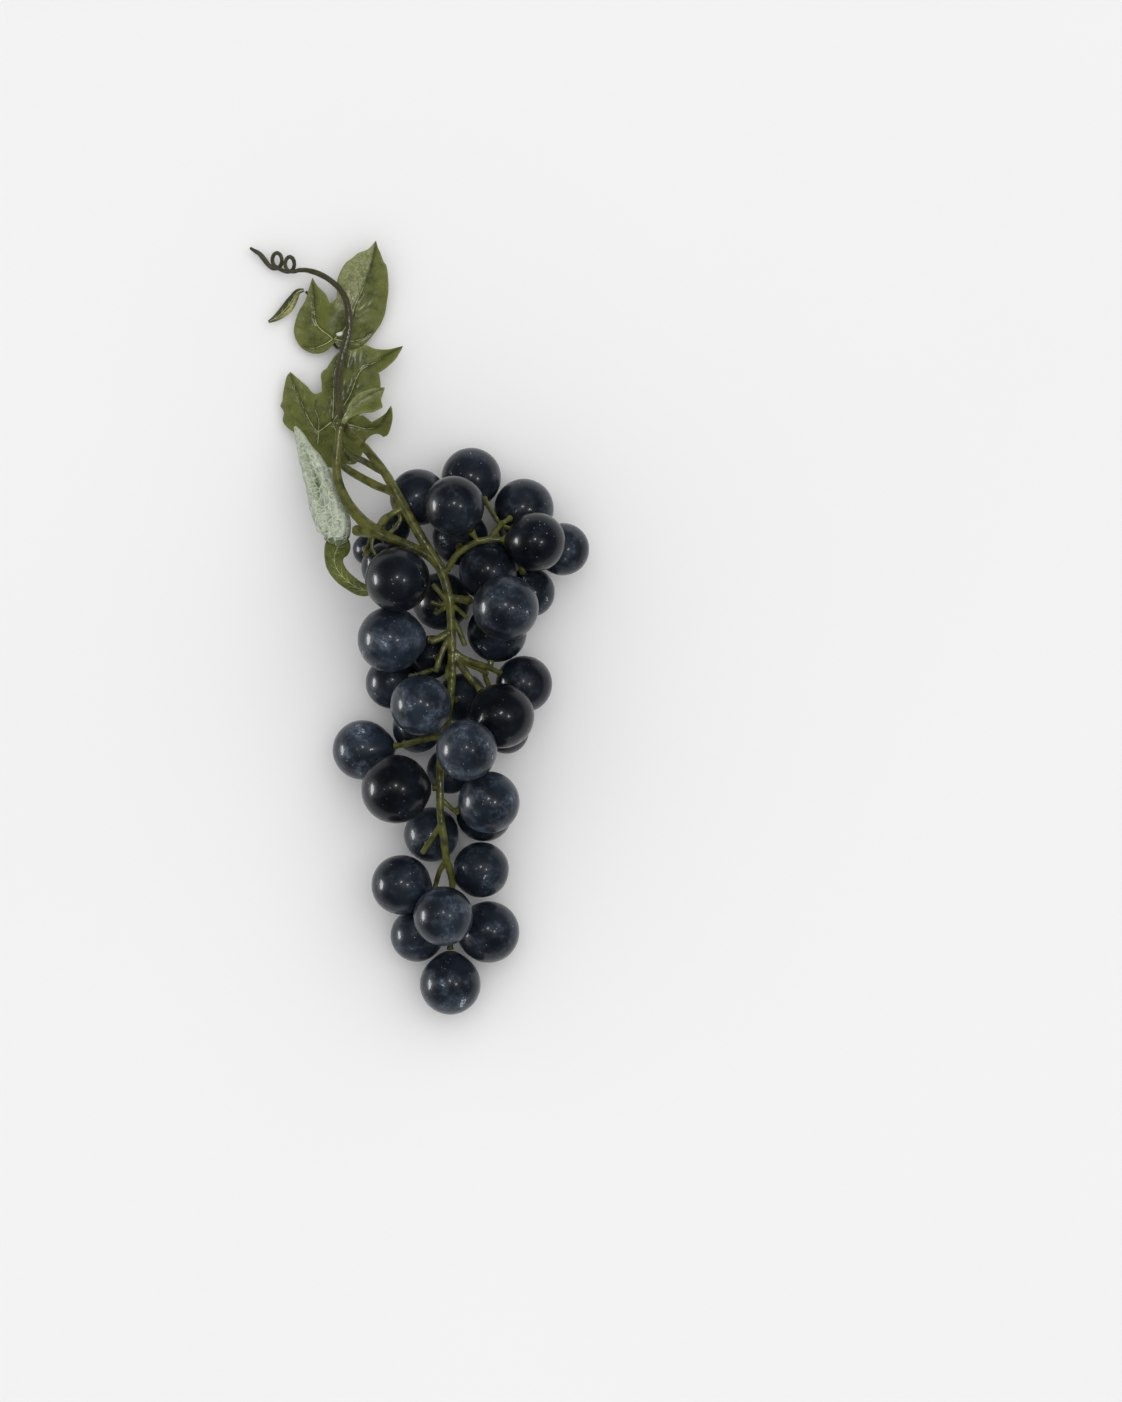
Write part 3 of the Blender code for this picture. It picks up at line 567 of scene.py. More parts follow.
def grown_stem():
    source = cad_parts["stem"]
    obj = bpy.data.objects.new("stem_grown", source.data.copy())
    bpy.context.scene.collection.objects.link(obj)
    bm = bmesh.new()
    bm.from_mesh(obj.data)
    bmesh.ops.remove_doubles(bm, verts=bm.verts, dist=WELD)
    bm.to_mesh(obj.data)
    bm.free()
    remesh = obj.modifiers.new("remesh", "REMESH")
    remesh.mode = "VOXEL"
    remesh.voxel_size = VOXEL
    remesh.use_smooth_shade = True
    smooth = obj.modifiers.new("smooth", "SMOOTH")
    smooth.factor = SMOOTHING
    smooth.iterations = SMOOTH_ROUNDS
    graph = bpy.context.evaluated_depsgraph_get()
    mesh = bpy.data.meshes.new_from_object(obj.evaluated_get(graph))
    obj.modifiers.clear()
    obj.data = mesh
    normals = [vert.normal.copy() for vert in mesh.vertices]
    for vert, normal in zip(mesh.vertices, normals):
        fine, wide = noise.noise(vert.co * FINE_LUMPS), noise.noise(vert.co * WIDE_LUMPS)
        rough = fine * BARK_ROUGH + wide * BARK_ROUGH
        tendril = min(1, max(0, (vert.co.y - TENDRIL_START) / TENDRIL_FADE))
        vert.co = keep_inside(vert.co + normal * (rough + STEM_SWELL + TENDRIL_SWELL * tendril) * MM)
    mesh.materials.clear()
    mesh.materials.append(bark)
    for polygon in mesh.polygons:
        polygon.use_smooth = True
        polygon.material_index = 0
    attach(obj, "root")
    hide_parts("stem")
    return obj


stem = grown_stem()
print("stem faces:", len(stem.data.polygons))

# %% [markdown]
# A leaf blade is a thin sheet. Its outline was read point by point, and a few height marks say how it
# bends. A surface through the marks is solved as a thin plate, the shape that a bent metal ruler would
# take. The triangles are far smaller than those of the CAD blade, so the bends come out smooth.

# %% Helpers for blades
SHARP_CORNER = 55  # degrees of turn from which a corner of an outline stays sharp
STIFFNESS = 2e-6  # lets the bent sheet miss its marks by a hair, which keeps it calm
ROW_STEP = 0.866  # height of a triangle of even sides, for a side of 1


def bell(value, middle, width):
    """1 at the middle, falling to 0 over about this width."""
    return np.exp(-(((value - middle) / width) ** 2))


def flat_line(points):
    """Points read on the grid, in metres and without a height."""
    return np.array([place(x, y)[:2] for x, y in points])


def smooth_points(points, parts):
    """Points along a curve through the given ones, with this many parts between each pair."""
    ends = [2 * points[0] - points[1]] + list(points) + [2 * points[-1] - points[-2]]
    found = []
    for a, b, c, d in zip(ends, ends[1:], ends[2:], ends[3:]):
        for i in range(parts):
            t = i / parts
            curve = (2 * a - 5 * b + 4 * c - d) * t**2 + (3 * b - a - 3 * c + d) * t**3
            found.append(0.5 * (2 * b + (c - a) * t + curve))
    return found + [points[-1]]


def height_field(marks):
    """A smooth surface through the marks, as a function of arrays of x and y in metres."""
    known = np.array([place(*mark) for mark in marks])

    def bend(squares):
        return squares * np.log(squares + 1e-12)

    size = len(known)
    across = ((known[:, None, :2] - known[None, :, :2]) ** 2).sum(axis=2)
    table = np.zeros((size + 3, size + 3))
    table[:size, :size] = bend(across) + np.eye(size) * STIFFNESS
    table[:size, size:] = np.column_stack((np.ones(size), known[:, :2]))
    table[size:, :size] = table[:size, size:].T
    weights = np.linalg.solve(table, np.append(known[:, 2], np.zeros(3)))

    def height(flat):
        squares = ((flat[:, None, :] - known[None, :, :2]) ** 2).sum(axis=2)
        return bend(squares) @ weights[:size] + weights[size] + flat @ weights[size + 1 :]

    return height


def rounded_loop(outline, parts=4):
    """The outline in metres, curved between its points, with its sharp corners kept."""
    points = flat_line(outline)
    count = len(points)
    corners = []
    for i in range(count):
        before = points[i] - points[i - 1]
        after = points[(i + 1) % count] - points[i]
        level = before @ after / np.linalg.norm(before) / np.linalg.norm(after)
        if math.degrees(math.acos(np.clip(level, -1, 1))) > SHARP_CORNER:
            corners.append(i)
    loop = []
    for start, end in zip(corners, corners[1:] + [corners[0] + count]):
        run = [points[i % count] for i in range(start, end + 1)]
        loop += smooth_points(run, parts)[:-1]
    return np.array(loop)


def segment_distance(flat, line):
    """Distance of each point from a line of points."""
    best = np.full(len(flat), 1e9)
    for a, b in zip(line, line[1:]):
        along = b - a
        share = np.clip((flat - a) @ along / (along @ along + 1e-18), 0, 1)
        best = np.minimum(best, np.linalg.norm(flat - a - share[:, None] * along, axis=1))
    return best


def inside_loop(flat, loop):
    """True for each point that lies inside the loop."""
    crossings = np.zeros(len(flat), int)
    for (ax, ay), (bx, by) in zip(loop, np.roll(loop, -1, axis=0)):
        spans = (ay > flat[:, 1]) != (by > flat[:, 1])
        with np.errstate(divide="ignore", invalid="ignore"):
            meets = ax + (bx - ax) * (flat[:, 1] - ay) / (by - ay)
        crossings += spans & (flat[:, 0] < meets)
    return crossings % 2 == 1


def cut_blade(loop, cell):
    """Flat points and triangles that fill the loop evenly."""
    low, high = loop.min(axis=0), loop.max(axis=0)
    grid = []
    for i, y in enumerate(np.arange(low[1], high[1], cell * ROW_STEP)):
        grid += [(x, y) for x in np.arange(low[0] + (i % 2) * cell / 2, high[0], cell)]
    grid = np.array(grid)
    closed = np.vstack((loop, loop[:1]))
    grid = grid[inside_loop(grid, loop) & (segment_distance(grid, closed) > 0.5 * cell)]
    points = [Vector(p) for p in np.vstack((loop, grid))]
    edges = [(i, (i + 1) % len(loop)) for i in range(len(loop))]
    flat, _, faces, *_ = delaunay_2d_cdt(points, edges, [], 0, 1e-7, False)
    flat = np.array(flat)
    faces = np.array(faces)
    return flat, faces[inside_loop(flat[faces].mean(axis=1), loop)]


print("blade helpers ready")

# %% [markdown]
# Veins: a main rib runs to the tip of every lobe, and side ribs leave it at a slant, pair by pair, until
# they reach the margin. The main ribs are drawn, and a rule grows the side ribs. Each rib is a thin
# tapering cord half sunk into the blade, which catches the light as a real rib does.

# %% Helpers for veins
CELL = 0.65 * MM
BLADE_THICK = 0.55 * MM
RIB_STEP = 0.8  # mm between two points of a side rib
RIB_BEND = 0.055  # radians that it turns at each step
RIB_LEAST = 4  # a side rib with no more points than this is left out


def side_ribs(rib, loop, spacing, slant, longest):
    """Side ribs of one main rib, as flat lines. They curve towards the tip and stop short of the margin."""
    found = []
    steps = np.linalg.norm(np.diff(rib, axis=0), axis=1)
    along = np.concatenate(([0], np.cumsum(steps)))
    stations = np.arange(spacing * 0.8, along[-1] - spacing * 0.7, spacing)
    for number, station in enumerate(stations):
        i = min(np.searchsorted(along, station), len(rib) - 1)
        ahead = rib[i] - rib[i - 1]
        heading = math.atan2(ahead[1], ahead[0])
        for side in (-1, 1):
            angle = heading + side * math.radians(slant)
            spot = rib[i].copy()
            line = [spot.copy()]
            while len(line) * RIB_STEP * MM < longest:
                angle -= side * RIB_BEND
                spot = spot + RIB_STEP * MM * np.array((math.cos(angle), math.sin(angle)))
                if not inside_loop(spot[None, :], loop)[0]:
                    break
                line.append(spot.copy())
            if len(line) > RIB_LEAST:
                found.append(np.array(line[:-1]))
    return found


def cord_rings(bm, line, radii, sides=6):
    """Adds a closed tapering cord along the line to bm and returns its faces."""
    rings = []
    for i, (point, radius) in enumerate(zip(line, radii)):
        ahead = line[min(i + 1, len(line) - 1)] - line[max(i - 1, 0)]
        turn = Vector(ahead).to_track_quat("Z", "Y")
        rings.append([
            bm.verts.new(Vector(point) + turn @ Vector((radius * math.cos(a), radius * math.sin(a), 0)))
            for a in (2 * math.pi * j / sides for j in range(sides))
        ])
    faces = [bm.faces.new(rings[0][::-1]), bm.faces.new(rings[-1])]
    for low, high in zip(rings, rings[1:]):
        for j in range(sides):
            k = (j + 1) % sides
            faces.append(bm.faces.new((low[j], low[k], high[k], high[j])))
    return faces


def thick_sheet(bm, points, triangles, thick, values):
    """Adds a blade of even thickness to bm. values maps a layer's name to one number for each point."""
    normals = np.zeros_like(points)
    first, second, third = (points[triangles[:, corner]] for corner in range(3))
    cross = np.cross(second - first, third - first)
    for corner in range(3):
        np.add.at(normals, triangles[:, corner], cross)
    normals /= np.linalg.norm(normals, axis=1)[:, None]
    layers = {name: bm.verts.layers.float.get(name) or bm.verts.layers.float.new(name) for name in values}
    skins = []
    for sign in (1, -1):
        corners = [bm.verts.new(p) for p in points + normals * sign * thick / 2]
        for name, numbers in values.items():
            for vert, number in zip(corners, numbers):
                vert[layers[name]] = number
        skins.append(corners)
    sides = {(int(a), int(b)) for tri in triangles for a, b in zip(tri, np.roll(tri, -1))}
    for a, b, c in triangles:
        bm.faces.new((skins[0][a], skins[0][b], skins[0][c]))
        bm.faces.new((skins[1][c], skins[1][b], skins[1][a]))
    for a, b in sorted(sides):
        if (b, a) not in sides:
            bm.faces.new((skins[0][b], skins[0][a], skins[1][a], skins[1][b]))
    return normals


def finish_leaf(bm, name, node, finish):
    bmesh.ops.recalc_face_normals(bm, faces=bm.faces)
    for vert in bm.verts:
        vert.co = keep_inside(vert.co)
    for face in bm.faces:
        face.smooth = True
    obj = object_of(bm, name, name)
    obj.data.materials.append(finish)
    obj.data.materials.append(vein_pale)
    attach(obj, "root")
    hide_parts(node)
    print(name, "faces:", len(obj.data.polygons))
    return obj


print("vein helpers ready")

# %% [markdown]
# The flat leaves share one maker. It cuts the sheet, bends it through its height marks, sinks it a little
# along each rib so that the blade puckers between them, and lays the ribs in.

# %% The maker of flat leaves
MAIN_GROOVE = (0.34 * MM, 0.75 * MM)  # how deep a rib is sunk, and how wide
FINE_GROOVE = (0.09 * MM, 0.6 * MM)
PUCKER = 0.10  # mm
PUCKERS = 260  # for each metre
PUCKER_SLICE = 3.7  # the level at which the noise is read
RIM_SOFT, RIM_SOFT_WIDTH = 0.40, 3.2 * MM
RIM_WIDTH = 0.6 * MM
RIB_CREASE_SHADE_WIDTH = 0.6 * MM
RIB_SLANT = 48  # degrees
RIB_SUNK = 0.35  # share of its radius by which the middle of a rib lies under the skin
RIB_END = 0.35  # share of its radius that is left at its end


def leaf_relief(flat, ribs, fine_ribs):
    """How far the blade stands off its smooth shape at each point, in metres."""
    relief = np.zeros(len(flat))
    for lines, (depth, width) in ((ribs, MAIN_GROOVE), (fine_ribs, FINE_GROOVE)):
        for rib in lines:
            relief -= depth * bell(segment_distance(flat, rib), 0, width)
    pucker = [noise.noise(Vector((x * PUCKERS, y * PUCKERS, PUCKER_SLICE))) for x, y in flat]
    return relief + np.array(pucker) * PUCKER * MM


def blade_values(flat, loop, main, painted_sheen_zone):
    """The three numbers that the leaf finish reads at each point."""
    inward = segment_distance(flat, np.vstack((loop, loop[:1])))
    rim = np.maximum(RIM_SOFT * bell(inward, 0, RIM_SOFT_WIDTH), bell(inward, 0, RIM_WIDTH))
    pale = painted_sheen_zone(flat) if painted_sheen_zone else np.zeros(len(flat))
    # The fold number is painted shade, dark beside each main rib.
    fold = np.zeros(len(flat))
    for rib in main:
        fold = np.maximum(fold, bell(segment_distance(flat, rib), 0, RIB_CREASE_SHADE_WIDTH))
    return {"rim": rim, "pale": pale, "fold": fold}


def flat_leaf(name, node, outline, marks, ribs, spacing, painted_sheen_zone=None, longest=14 * MM, thickness=0.27):
    loop = rounded_loop(outline)
    flat, triangles = cut_blade(loop, CELL)
    height = height_field(marks)
    main = [np.array(smooth_points(flat_line(rib), 5)) for rib in ribs]
    fine = [line for rib in main for line in side_ribs(rib, loop, spacing, RIB_SLANT, longest)]
    points = np.column_stack((flat, height(flat) + leaf_relief(flat, main, fine)))
    bm = bmesh.new()
    thick_sheet(bm, points, triangles, BLADE_THICK, blade_values(flat, loop, main, painted_sheen_zone))
    main_ribs = [(rib, thickness, 1) for rib in main]
    for line, radius, material in main_ribs + [(rib, thickness * 0.5, 0) for rib in fine]:
        depth = leaf_relief(line, main, fine)
        spots = np.column_stack((line, height(line) + depth + (BLADE_THICK / 2 - radius * RIB_SUNK * MM)))
        radii = np.linspace(radius, radius * RIB_END, len(spots)) * MM
        for face in cord_rings(bm, spots, radii):
            face.material_index = material
    return finish_leaf(bm, name, node, green_leaf)


print("the finest cell of a blade is", CELL / MM, "mm")

# %% [markdown]
# The leaf at the top of the shoot has two smooth lobes. The half of the large lobe left of its rib is
# folded up to the light, and its silvery sheen is painted on through the pale attribute.

# %% The lobed leaf
LOBED_LEAF = (
    (375.5, 239.5), (377, 245), (380, 252), (383, 260), (386, 265), (387.5, 275), (388, 288), (386.5, 300),
    (384.5, 312), (380, 323), (373, 333), (366, 341), (358, 348), (352, 356), (347, 361), (344, 354),
    (343, 348), (334, 341.5), (325, 350), (315, 352.5), (306, 350), (300, 346), (295, 338), (293, 330),
    (294, 322), (298, 310), (303, 302), (306, 295), (309, 284), (311.5, 276.5), (316, 284), (322, 290),
    (326, 295), (328, 300), (330, 302), (336, 297), (336, 286), (337, 278), (340, 270), (345, 262),
    (352, 257), (358, 252), (366, 249), (371, 245),
)
LOBED_MARKS = (
    (332, 338, 6.2), (375, 240, 9.5), (352, 257, 11.0), (337, 284, 7.6), (346, 305, 7.4), (361, 290, 6.6),
    (369, 268, 7.8), (388, 288, 6.6), (384, 312, 5.2), (366, 341, 4.4), (347, 360, 4.0), (357, 320, 6.4),
    (311.5, 276.5, 5.2), (294, 322, 3.6), (315, 352, 3.6), (329, 301, 6.2), (314, 315, 5.0),
)
LOBED_RIBS = (
    ((333, 338), (342, 330), (351, 316), (354, 305), (361, 290), (369, 270), (374, 250), (375.3, 242)),
    ((332, 338), (328, 334), (321, 329), (316, 323), (314, 315), (313.5, 300), (312, 282)),
    ((332, 338), (324, 343), (312, 347), (303, 345)),
    ((334, 338), (346, 340), (360, 338), (372, 330)),
)


def painted_sheen_half(flat):
    """Where the sheen is painted: up to 0.7 left of the large lobe's rib, with a soft edge."""
    rib = flat_line(((351, 316), (354, 305), (361, 290), (369, 270), (375, 243)))
    side = np.interp(flat[:, 1], rib[:, 1], rib[:, 0]) - flat[:, 0]
    upper = np.clip((flat[:, 1] - place(0, 312)[1]) / (3 * MM), 0, 1)
    right = np.clip((flat[:, 0] - place(333, 0)[0]) / (1 * MM), 0, 1)
    return np.clip(side / (0.6 * MM), 0, 1) * upper * right * 0.70


flat_leaf("leaf_lobed", "lobed_leaf", LOBED_LEAF, LOBED_MARKS, LOBED_RIBS, 4.2 * MM, painted_sheen_half)

# %% [markdown]
# The leaf in the middle of the shoot has five toothed lobes. Its lower right lobe curls up, which the
# height marks do by themselves: the tip of that lobe is marked 17 mm high and its foot under 10 mm.

# %% The toothed leaf
TOOTHED_LEAF = (
    (289.5, 371), (300, 380), (306, 385), (310, 390), (315, 393), (321, 391), (321, 383), (320, 375),
    (322, 370), (326, 367), (330, 361), (334, 355), (339, 351), (347, 349), (354, 348), (359, 346),
    (363, 344.5), (367, 344.5), (372, 347), (380, 348.5), (390, 348), (402.5, 345), (400, 350), (395, 358),
    (389, 364), (384, 368), (378, 372), (379, 375), (380, 386), (376, 394), (369, 402), (362, 410),
    (358, 415), (363, 415), (371, 421.5), (376, 419), (384, 414), (388, 409), (390.5, 405.5), (392, 411),
    (392, 420), (388, 433), (383, 436), (378, 433), (372, 434), (365, 440), (363, 450), (357, 461),
    (350, 464), (341, 462), (334, 466), (328, 466), (319, 458), (310, 450), (303, 441), (294, 432),
    (287, 427), (282, 420), (283, 411), (279.5, 405), (281.5, 400), (282, 393), (284, 383), (286, 375),
)
TOOTHED_MARKS = (
    (331, 421, 9.0), (289.5, 371, 5.5), (280, 403, 3.6), (286, 426, 4.0), (300, 400, 5.6), (316, 400, 7.6),
    (312, 391, 7.0), (339, 351, 7.4), (321, 378, 6.0), (336, 385, 8.2), (402, 345, 10.5), (363, 345, 7.4),
    (378, 357, 7.2), (384, 368, 8.8), (380, 386, 9.4), (356, 377, 8.6), (360, 412, 9.6), (390, 406, 17.0),
    (392, 420, 13.6), (376, 427, 10.2), (383, 436, 8.6), (365, 440, 8.0), (357, 461, 7.2), (341, 462, 7.4),
    (328, 466, 6.0), (306, 445, 4.6),
)
TOOTHED_RIBS = (
    ((331, 421), (322, 428), (316, 430), (308, 418), (300, 400), (293, 383), (290, 373)),
    ((332, 420), (333, 400), (333, 380), (336, 360), (339, 353)),
    ((333, 420), (343, 405), (350, 393), (356, 377), (362, 368), (375, 361), (388, 353), (401, 346)),
    ((333, 422), (350, 424), (366, 428), (380, 424), (389, 408)),
    ((332, 423), (340, 440), (349, 460)),
    ((317, 443), (318, 430), (318, 418), (314, 407), (316, 400)),
)
flat_leaf("leaf_toothed", "toothed_leaf", TOOTHED_LEAF, TOOTHED_MARKS, TOOTHED_RIBS, 4.6 * MM)

# %% [markdown]
# A small young leaf sits at the end of the left shoot, folded along its rib like a half-open book. The
# fold catches the light and makes it look paler than the others: that sheen is painted on through the pale
# attribute, over the side that faces the light and along the fold.

# %% The folded leaf
FOLDED_LEAF = (
    (341, 423), (343, 417), (345.5, 413), (350, 403), (355, 397), (360, 393), (372, 389), (379, 388),
    (384.5, 387), (384, 390), (382, 396), (381, 400), (382.5, 406), (381, 408), (372, 412), (362, 413),
    (350, 418), (345, 424),
)
FOLDED_MARKS = (
    (343, 421, 24.6), (356, 402, 21.5), (370, 395, 20.0), (384, 387, 21.5), (350, 403, 24.2),
    (360, 393, 23.5), (372, 389, 22.0), (381, 407, 21.8), (372, 412, 23.0), (362, 413, 23.6),
    (350, 418, 24.4),
)
FOLDED_RIBS = (((344, 416), (350, 408), (357, 402), (370, 393), (382, 388)),)


def painted_sheen_on_fold(flat):
    """Painted sheen on the side of the fold that faces the light, and along the fold."""
    fold = flat_line(FOLDED_RIBS[0])
    near = bell(segment_distance(flat, fold), 0, 1.8 * MM)
    above = np.interp(flat[:, 0], fold[:, 0], fold[:, 1]) < flat[:, 1]
    return np.where(above, 0.45 + 0.65 * near, 0.6 * near) * 1.2


flat_leaf(
    "leaf_folded", "folded_leaf", FOLDED_LEAF, FOLDED_MARKS, FOLDED_RIBS, 2.0 * MM, painted_sheen_on_fold, 4 * MM, 0.22
)

# %% [markdown]
# Two blades are rolled lengthways, so no height field can hold them: the sheet turns under itself. They
# are swept instead. Each row of points is an arc across the spine, as wide as was read there.

# %% The maker of rolled leaves
LEAST_HALF = 0.3 * MM
FULL_HALF = 4 * MM  # half width from which a blade has its full ripples and folds
RIPPLE = 0.45  # mm
RIPPLES = 190  # for each metre
RIPPLES_ACROSS = 2.2
MARGIN = 0.08  # width of the yellow margin, as a share of half the blade
RIBS_FROM, RIBS_TO = 0.12, 0.85  # where the side ribs start and end along the blade
RIB_REACH = 0.8  # how far out they run
RIB_LEAN = 0.35  # how far a side rib falls back along the blade as it runs out


def rolled_rows(spine, half_angle, flatten, parts, between, relief=None):
    """Points, triangles and, for each point, its place across (-1 to 1) and along (0 to 1) the blade."""
    rows = np.array([np.append(place(x, y, height), width * STEP / 2) for x, y, width, height in spine])
    rows = np.array(smooth_points(list(rows), between))
    ahead = np.gradient(rows[:, :2], axis=0)
    ahead /= np.linalg.norm(ahead, axis=1)[:, None]
    points, across, along = [], [], []
    for number, ((x, y, z, half), (dx, dy)) in enumerate(zip(rows, ahead)):
        half = max(half, LEAST_HALF)
        reach = half / math.sin(math.radians(min(half_angle, 90)))
        strength = min(1, half / FULL_HALF)
        place_along = number / (len(rows) - 1)
        for i in range(parts + 1):
            share = 2 * i / parts - 1
            angle = math.radians(half_angle) * share
            spot = Vector((x * RIPPLES, y * RIPPLES, share * RIPPLES_ACROSS))
            ripple = noise.noise(spot) * RIPPLE * MM * strength
            side = (reach + ripple) * math.sin(angle)
            fall = reach * flatten * (1 - math.cos(angle)) * (0.35 + 0.65 * share**2)
            drop = fall - ripple * math.cos(angle)
            if relief:
                drop -= relief(share, place_along) * MM * strength
            points.append((x - dy * side, y + dx * side, z - drop))
            across.append(share)
            along.append(place_along)
    width = parts + 1
    triangles = []
    for row in range(len(rows) - 1):
        for i in range(parts):
            a = row * width + i
            triangles += [(a, a + 1, a + width + 1), (a, a + width + 1, a + width)]
    return np.array(points), np.array(triangles), np.array(across), np.array(along)


def side_rib(grid, station, side, lift, half_angle):
    """One side rib, as the points of the grid that it runs over, raised to the skin."""
    rows, width = grid.shape[:2]
    middle = width // 2
    line = []
    for step in range(int(middle * RIB_REACH)):
        row = int(station * rows) - int(step * rows / width * RIB_LEAN)
        if 0 <= row < rows:
            tilt = math.radians(half_angle) * step / middle
            line.append(grid[row, middle + side * step] + lift * math.cos(tilt))
    return np.array(line)


def rolled_blade(
    bm, spine, half_angle, flatten, parts, between, paleness, rib_radius, rib_count, relief=None, crease=None
):
    points, triangles, across, along = rolled_rows(spine, half_angle, flatten, parts, between, relief)
    rim = bell(1 - np.abs(across), 0, MARGIN) * 0.6
    # The crease mask is painted shade, stored as the fold number.
    fold = crease(across, along) if crease else np.zeros(len(points))
    values = {"rim": rim, "pale": paleness(across, along), "fold": fold}
    thick_sheet(bm, points, triangles, BLADE_THICK, values)
    grid = points.reshape(-1, parts + 1, 3)
    lift = np.array((0, 0, BLADE_THICK / 2))
    lines = [(grid[:, parts // 2] + lift, rib_radius)]
    for station in np.linspace(RIBS_FROM, RIBS_TO, rib_count):
        for side in (-1, 1):
            line = side_rib(grid, station, side, lift, half_angle)
            if len(line) > 3:
                lines.append((line, rib_radius * 0.6))
    for line, radius in lines:
        for face in cord_rings(bm, line, np.linspace(radius, radius * 0.4, len(line)) * MM):
            face.material_index = 1


print("rolled blades are swept in rows")

# %% [markdown]
# The rolled leaf shows its silvery underside with a net of veins; highlights along its streaks and shade in
# its hollow are painted in. Its hooked lobe bends round in front of the berries. It is green, so it takes
# the green finish and none of the pale attribute.

# %% The rolled leaf
ROLLED_LEAF = (
    (294.3, 426, 1.5, 12.2), (299, 435, 8, 13.2), (305, 450, 15.5, 15.6), (311, 462, 22.5, 17.6),
    (316.5, 475, 26.5, 19.4), (321.5, 490, 30, 21.4), (326, 503, 33.5, 23.2), (331, 517, 35, 25.0),
    (334.5, 529, 31.5, 26.2), (334.2, 536.5, 26, 25.6), (331.5, 543, 15, 22.8),
)
HOOK_LOBE = (
    (341, 537, 14, 20.6), (339.3, 543, 22, 21.2), (336.8, 549, 24.5, 22.2), (334.3, 557, 19, 24.4),
    (335.5, 566, 16.5, 26.8), (341.5, 575.5, 15, 28.8), (349.5, 582.5, 14, 30.2), (358, 588, 13, 31.6),
    (366, 590.5, 11, 33.0), (371.5, 590.5, 6, 34.2),
)


def silver_with_painted_glare_and_shade(across, along):
    """Silvery, a little less so on the strip left of the ridge, with painted highlights along its streaks
    and painted shade in the hollow down the middle of the upper half. It is greener where the hooked lobe
    leaves it.
    """
    streaks = 0.22 * np.sin(15 * across + 26 * along) * (across > -0.2)
    middle = 1.10 * bell(along, 0.45, 0.20) * bell(across, -0.10 + 0.25 * (0.5 - along), 0.17)
    strip = 0.30 * np.clip((-0.50 - across) / 0.06, 0, 1)
    mouth = 1.20 * np.clip((along + 0.10 * across - 0.90) / 0.03, 0, 1)
    return np.clip(1.25 + streaks - middle - strip - mouth, 0.05, 1.5)


def folds(across, along):
    """How far the rolled blade stands off its smooth shape, in mm: a sharp ridge left, a hollow, a puff."""
    ridge = 1.4 * bell(across, -0.50, 0.12)
    hollow = 1.5 * bell(across, -0.12, 0.16) * bell(along, 0.45, 0.30)
    second = 0.9 * bell(across, 0.28 + 0.3 * (along - 0.5), 0.11) * bell(along, 0.65, 0.30)
    puff = 1.2 * bell(across, 0.42, 0.24) * bell(along, 0.82, 0.10)
    streaks = 0.28 * np.sin(15 * across + 26 * along) * bell(across, 0.25, 0.35)
    return ridge - hollow + second + puff + streaks - 1.2 * crack(across, along)


def crack(across, along):
    """1 in the short crease where the blade is bent: the blade is sunk there, and shade is painted into it.
    """
    return bell(along + 0.25 * across, 0.74, 0.018) * bell(across, -0.42, 0.14)


def plain_green(across, along):
    return np.zeros(len(across))


BLADE, VEIN, GREEN_BLADE, WHITE_VEIN = range(4)  # the rolled leaf's finishes, in the order of its list


def make_rolled_leaf():
    bm = bmesh.new()
    rolled_blade(bm, ROLLED_LEAF, 98, 0.75, 56, 12, silver_with_painted_glare_and_shade, 0.14, 12, folds, crack)
    for face in bm.faces:
        if face.material_index == VEIN:
            face.material_index = WHITE_VEIN
    silver_faces = set(bm.faces)
    rolled_blade(bm, HOOK_LOBE, 44, 0.8, 16, 6, plain_green, 0.16, 9)
    for face in bm.faces:
        if face not in silver_faces and face.material_index == BLADE:
            face.material_index = GREEN_BLADE
    obj = finish_leaf(bm, "leaf_rolled", "rolled_leaf", silver_leaf)
    obj.data.materials.append(green_leaf)
    obj.data.materials.append(vein_white)
    return obj


make_rolled_leaf()

# %% [markdown]
# The youngest leaf is still curled like a pod. It is swept too, with a yellow belly on one side.

# %% The young leaf
YOUNG_LEAF = (
    (303, 288.6, 2, 4.0), (297, 290.5, 5, 4.4), (292.5, 297, 8, 4.8), (287.5, 304.5, 10, 4.8),
    (281.5, 311, 9, 4.4), (275, 316.5, 5.5, 3.8), (267.5, 320.5, 1.5, 3.4),
)


def yellow_belly(across, along):
    return np.clip((across - 0.15) / 0.15, 0, 1) * bell(along, 0.5, 0.28)


def make_young_leaf():
    bm = bmesh.new()
    rolled_blade(bm, YOUNG_LEAF, 68, 0.8, 14, 6, yellow_belly, 0.18, 5)
    return finish_leaf(bm, "leaf_young", "young_leaf", young_skin)


make_young_leaf()

# %% [markdown]
# The table is a plain pale sheet. It belongs to the stage, not to the object.

# %% The table
TABLE_HALF = 3  # metres from the middle to an edge
TABLE_HEIGHT = -0.1 * MM
TABLE_COLORS = ((0.83, 0.83, 0.83), (0.84, 0.84, 0.84))
TABLE_GLOSS = {"Roughness": 0.9, "Specular IOR Level": 0.1}


def make_table():
    bm = bmesh.new()
    bmesh.ops.create_grid(bm, x_segments=4, y_segments=4, size=TABLE_HALF)
    obj = object_of(bm, "table", "table")
    obj.location.z = TABLE_HEIGHT
    material, tree, shader, where = start_material("table_pale")
    paper = texture(tree, "Noise", "paper", where, 3.0, Detail=2.0)
    base = blend_colors(tree, ramp(tree, paper.outputs["Fac"], 0.3, 0.7), *TABLE_COLORS)
    feed(tree, shader.inputs["Base Color"], base)
    feed_all(tree, shader, TABLE_GLOSS)
    obj.data.materials.append(material)
    obj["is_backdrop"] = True
    return obj


table = make_table()
print("table at z", table.location.z)

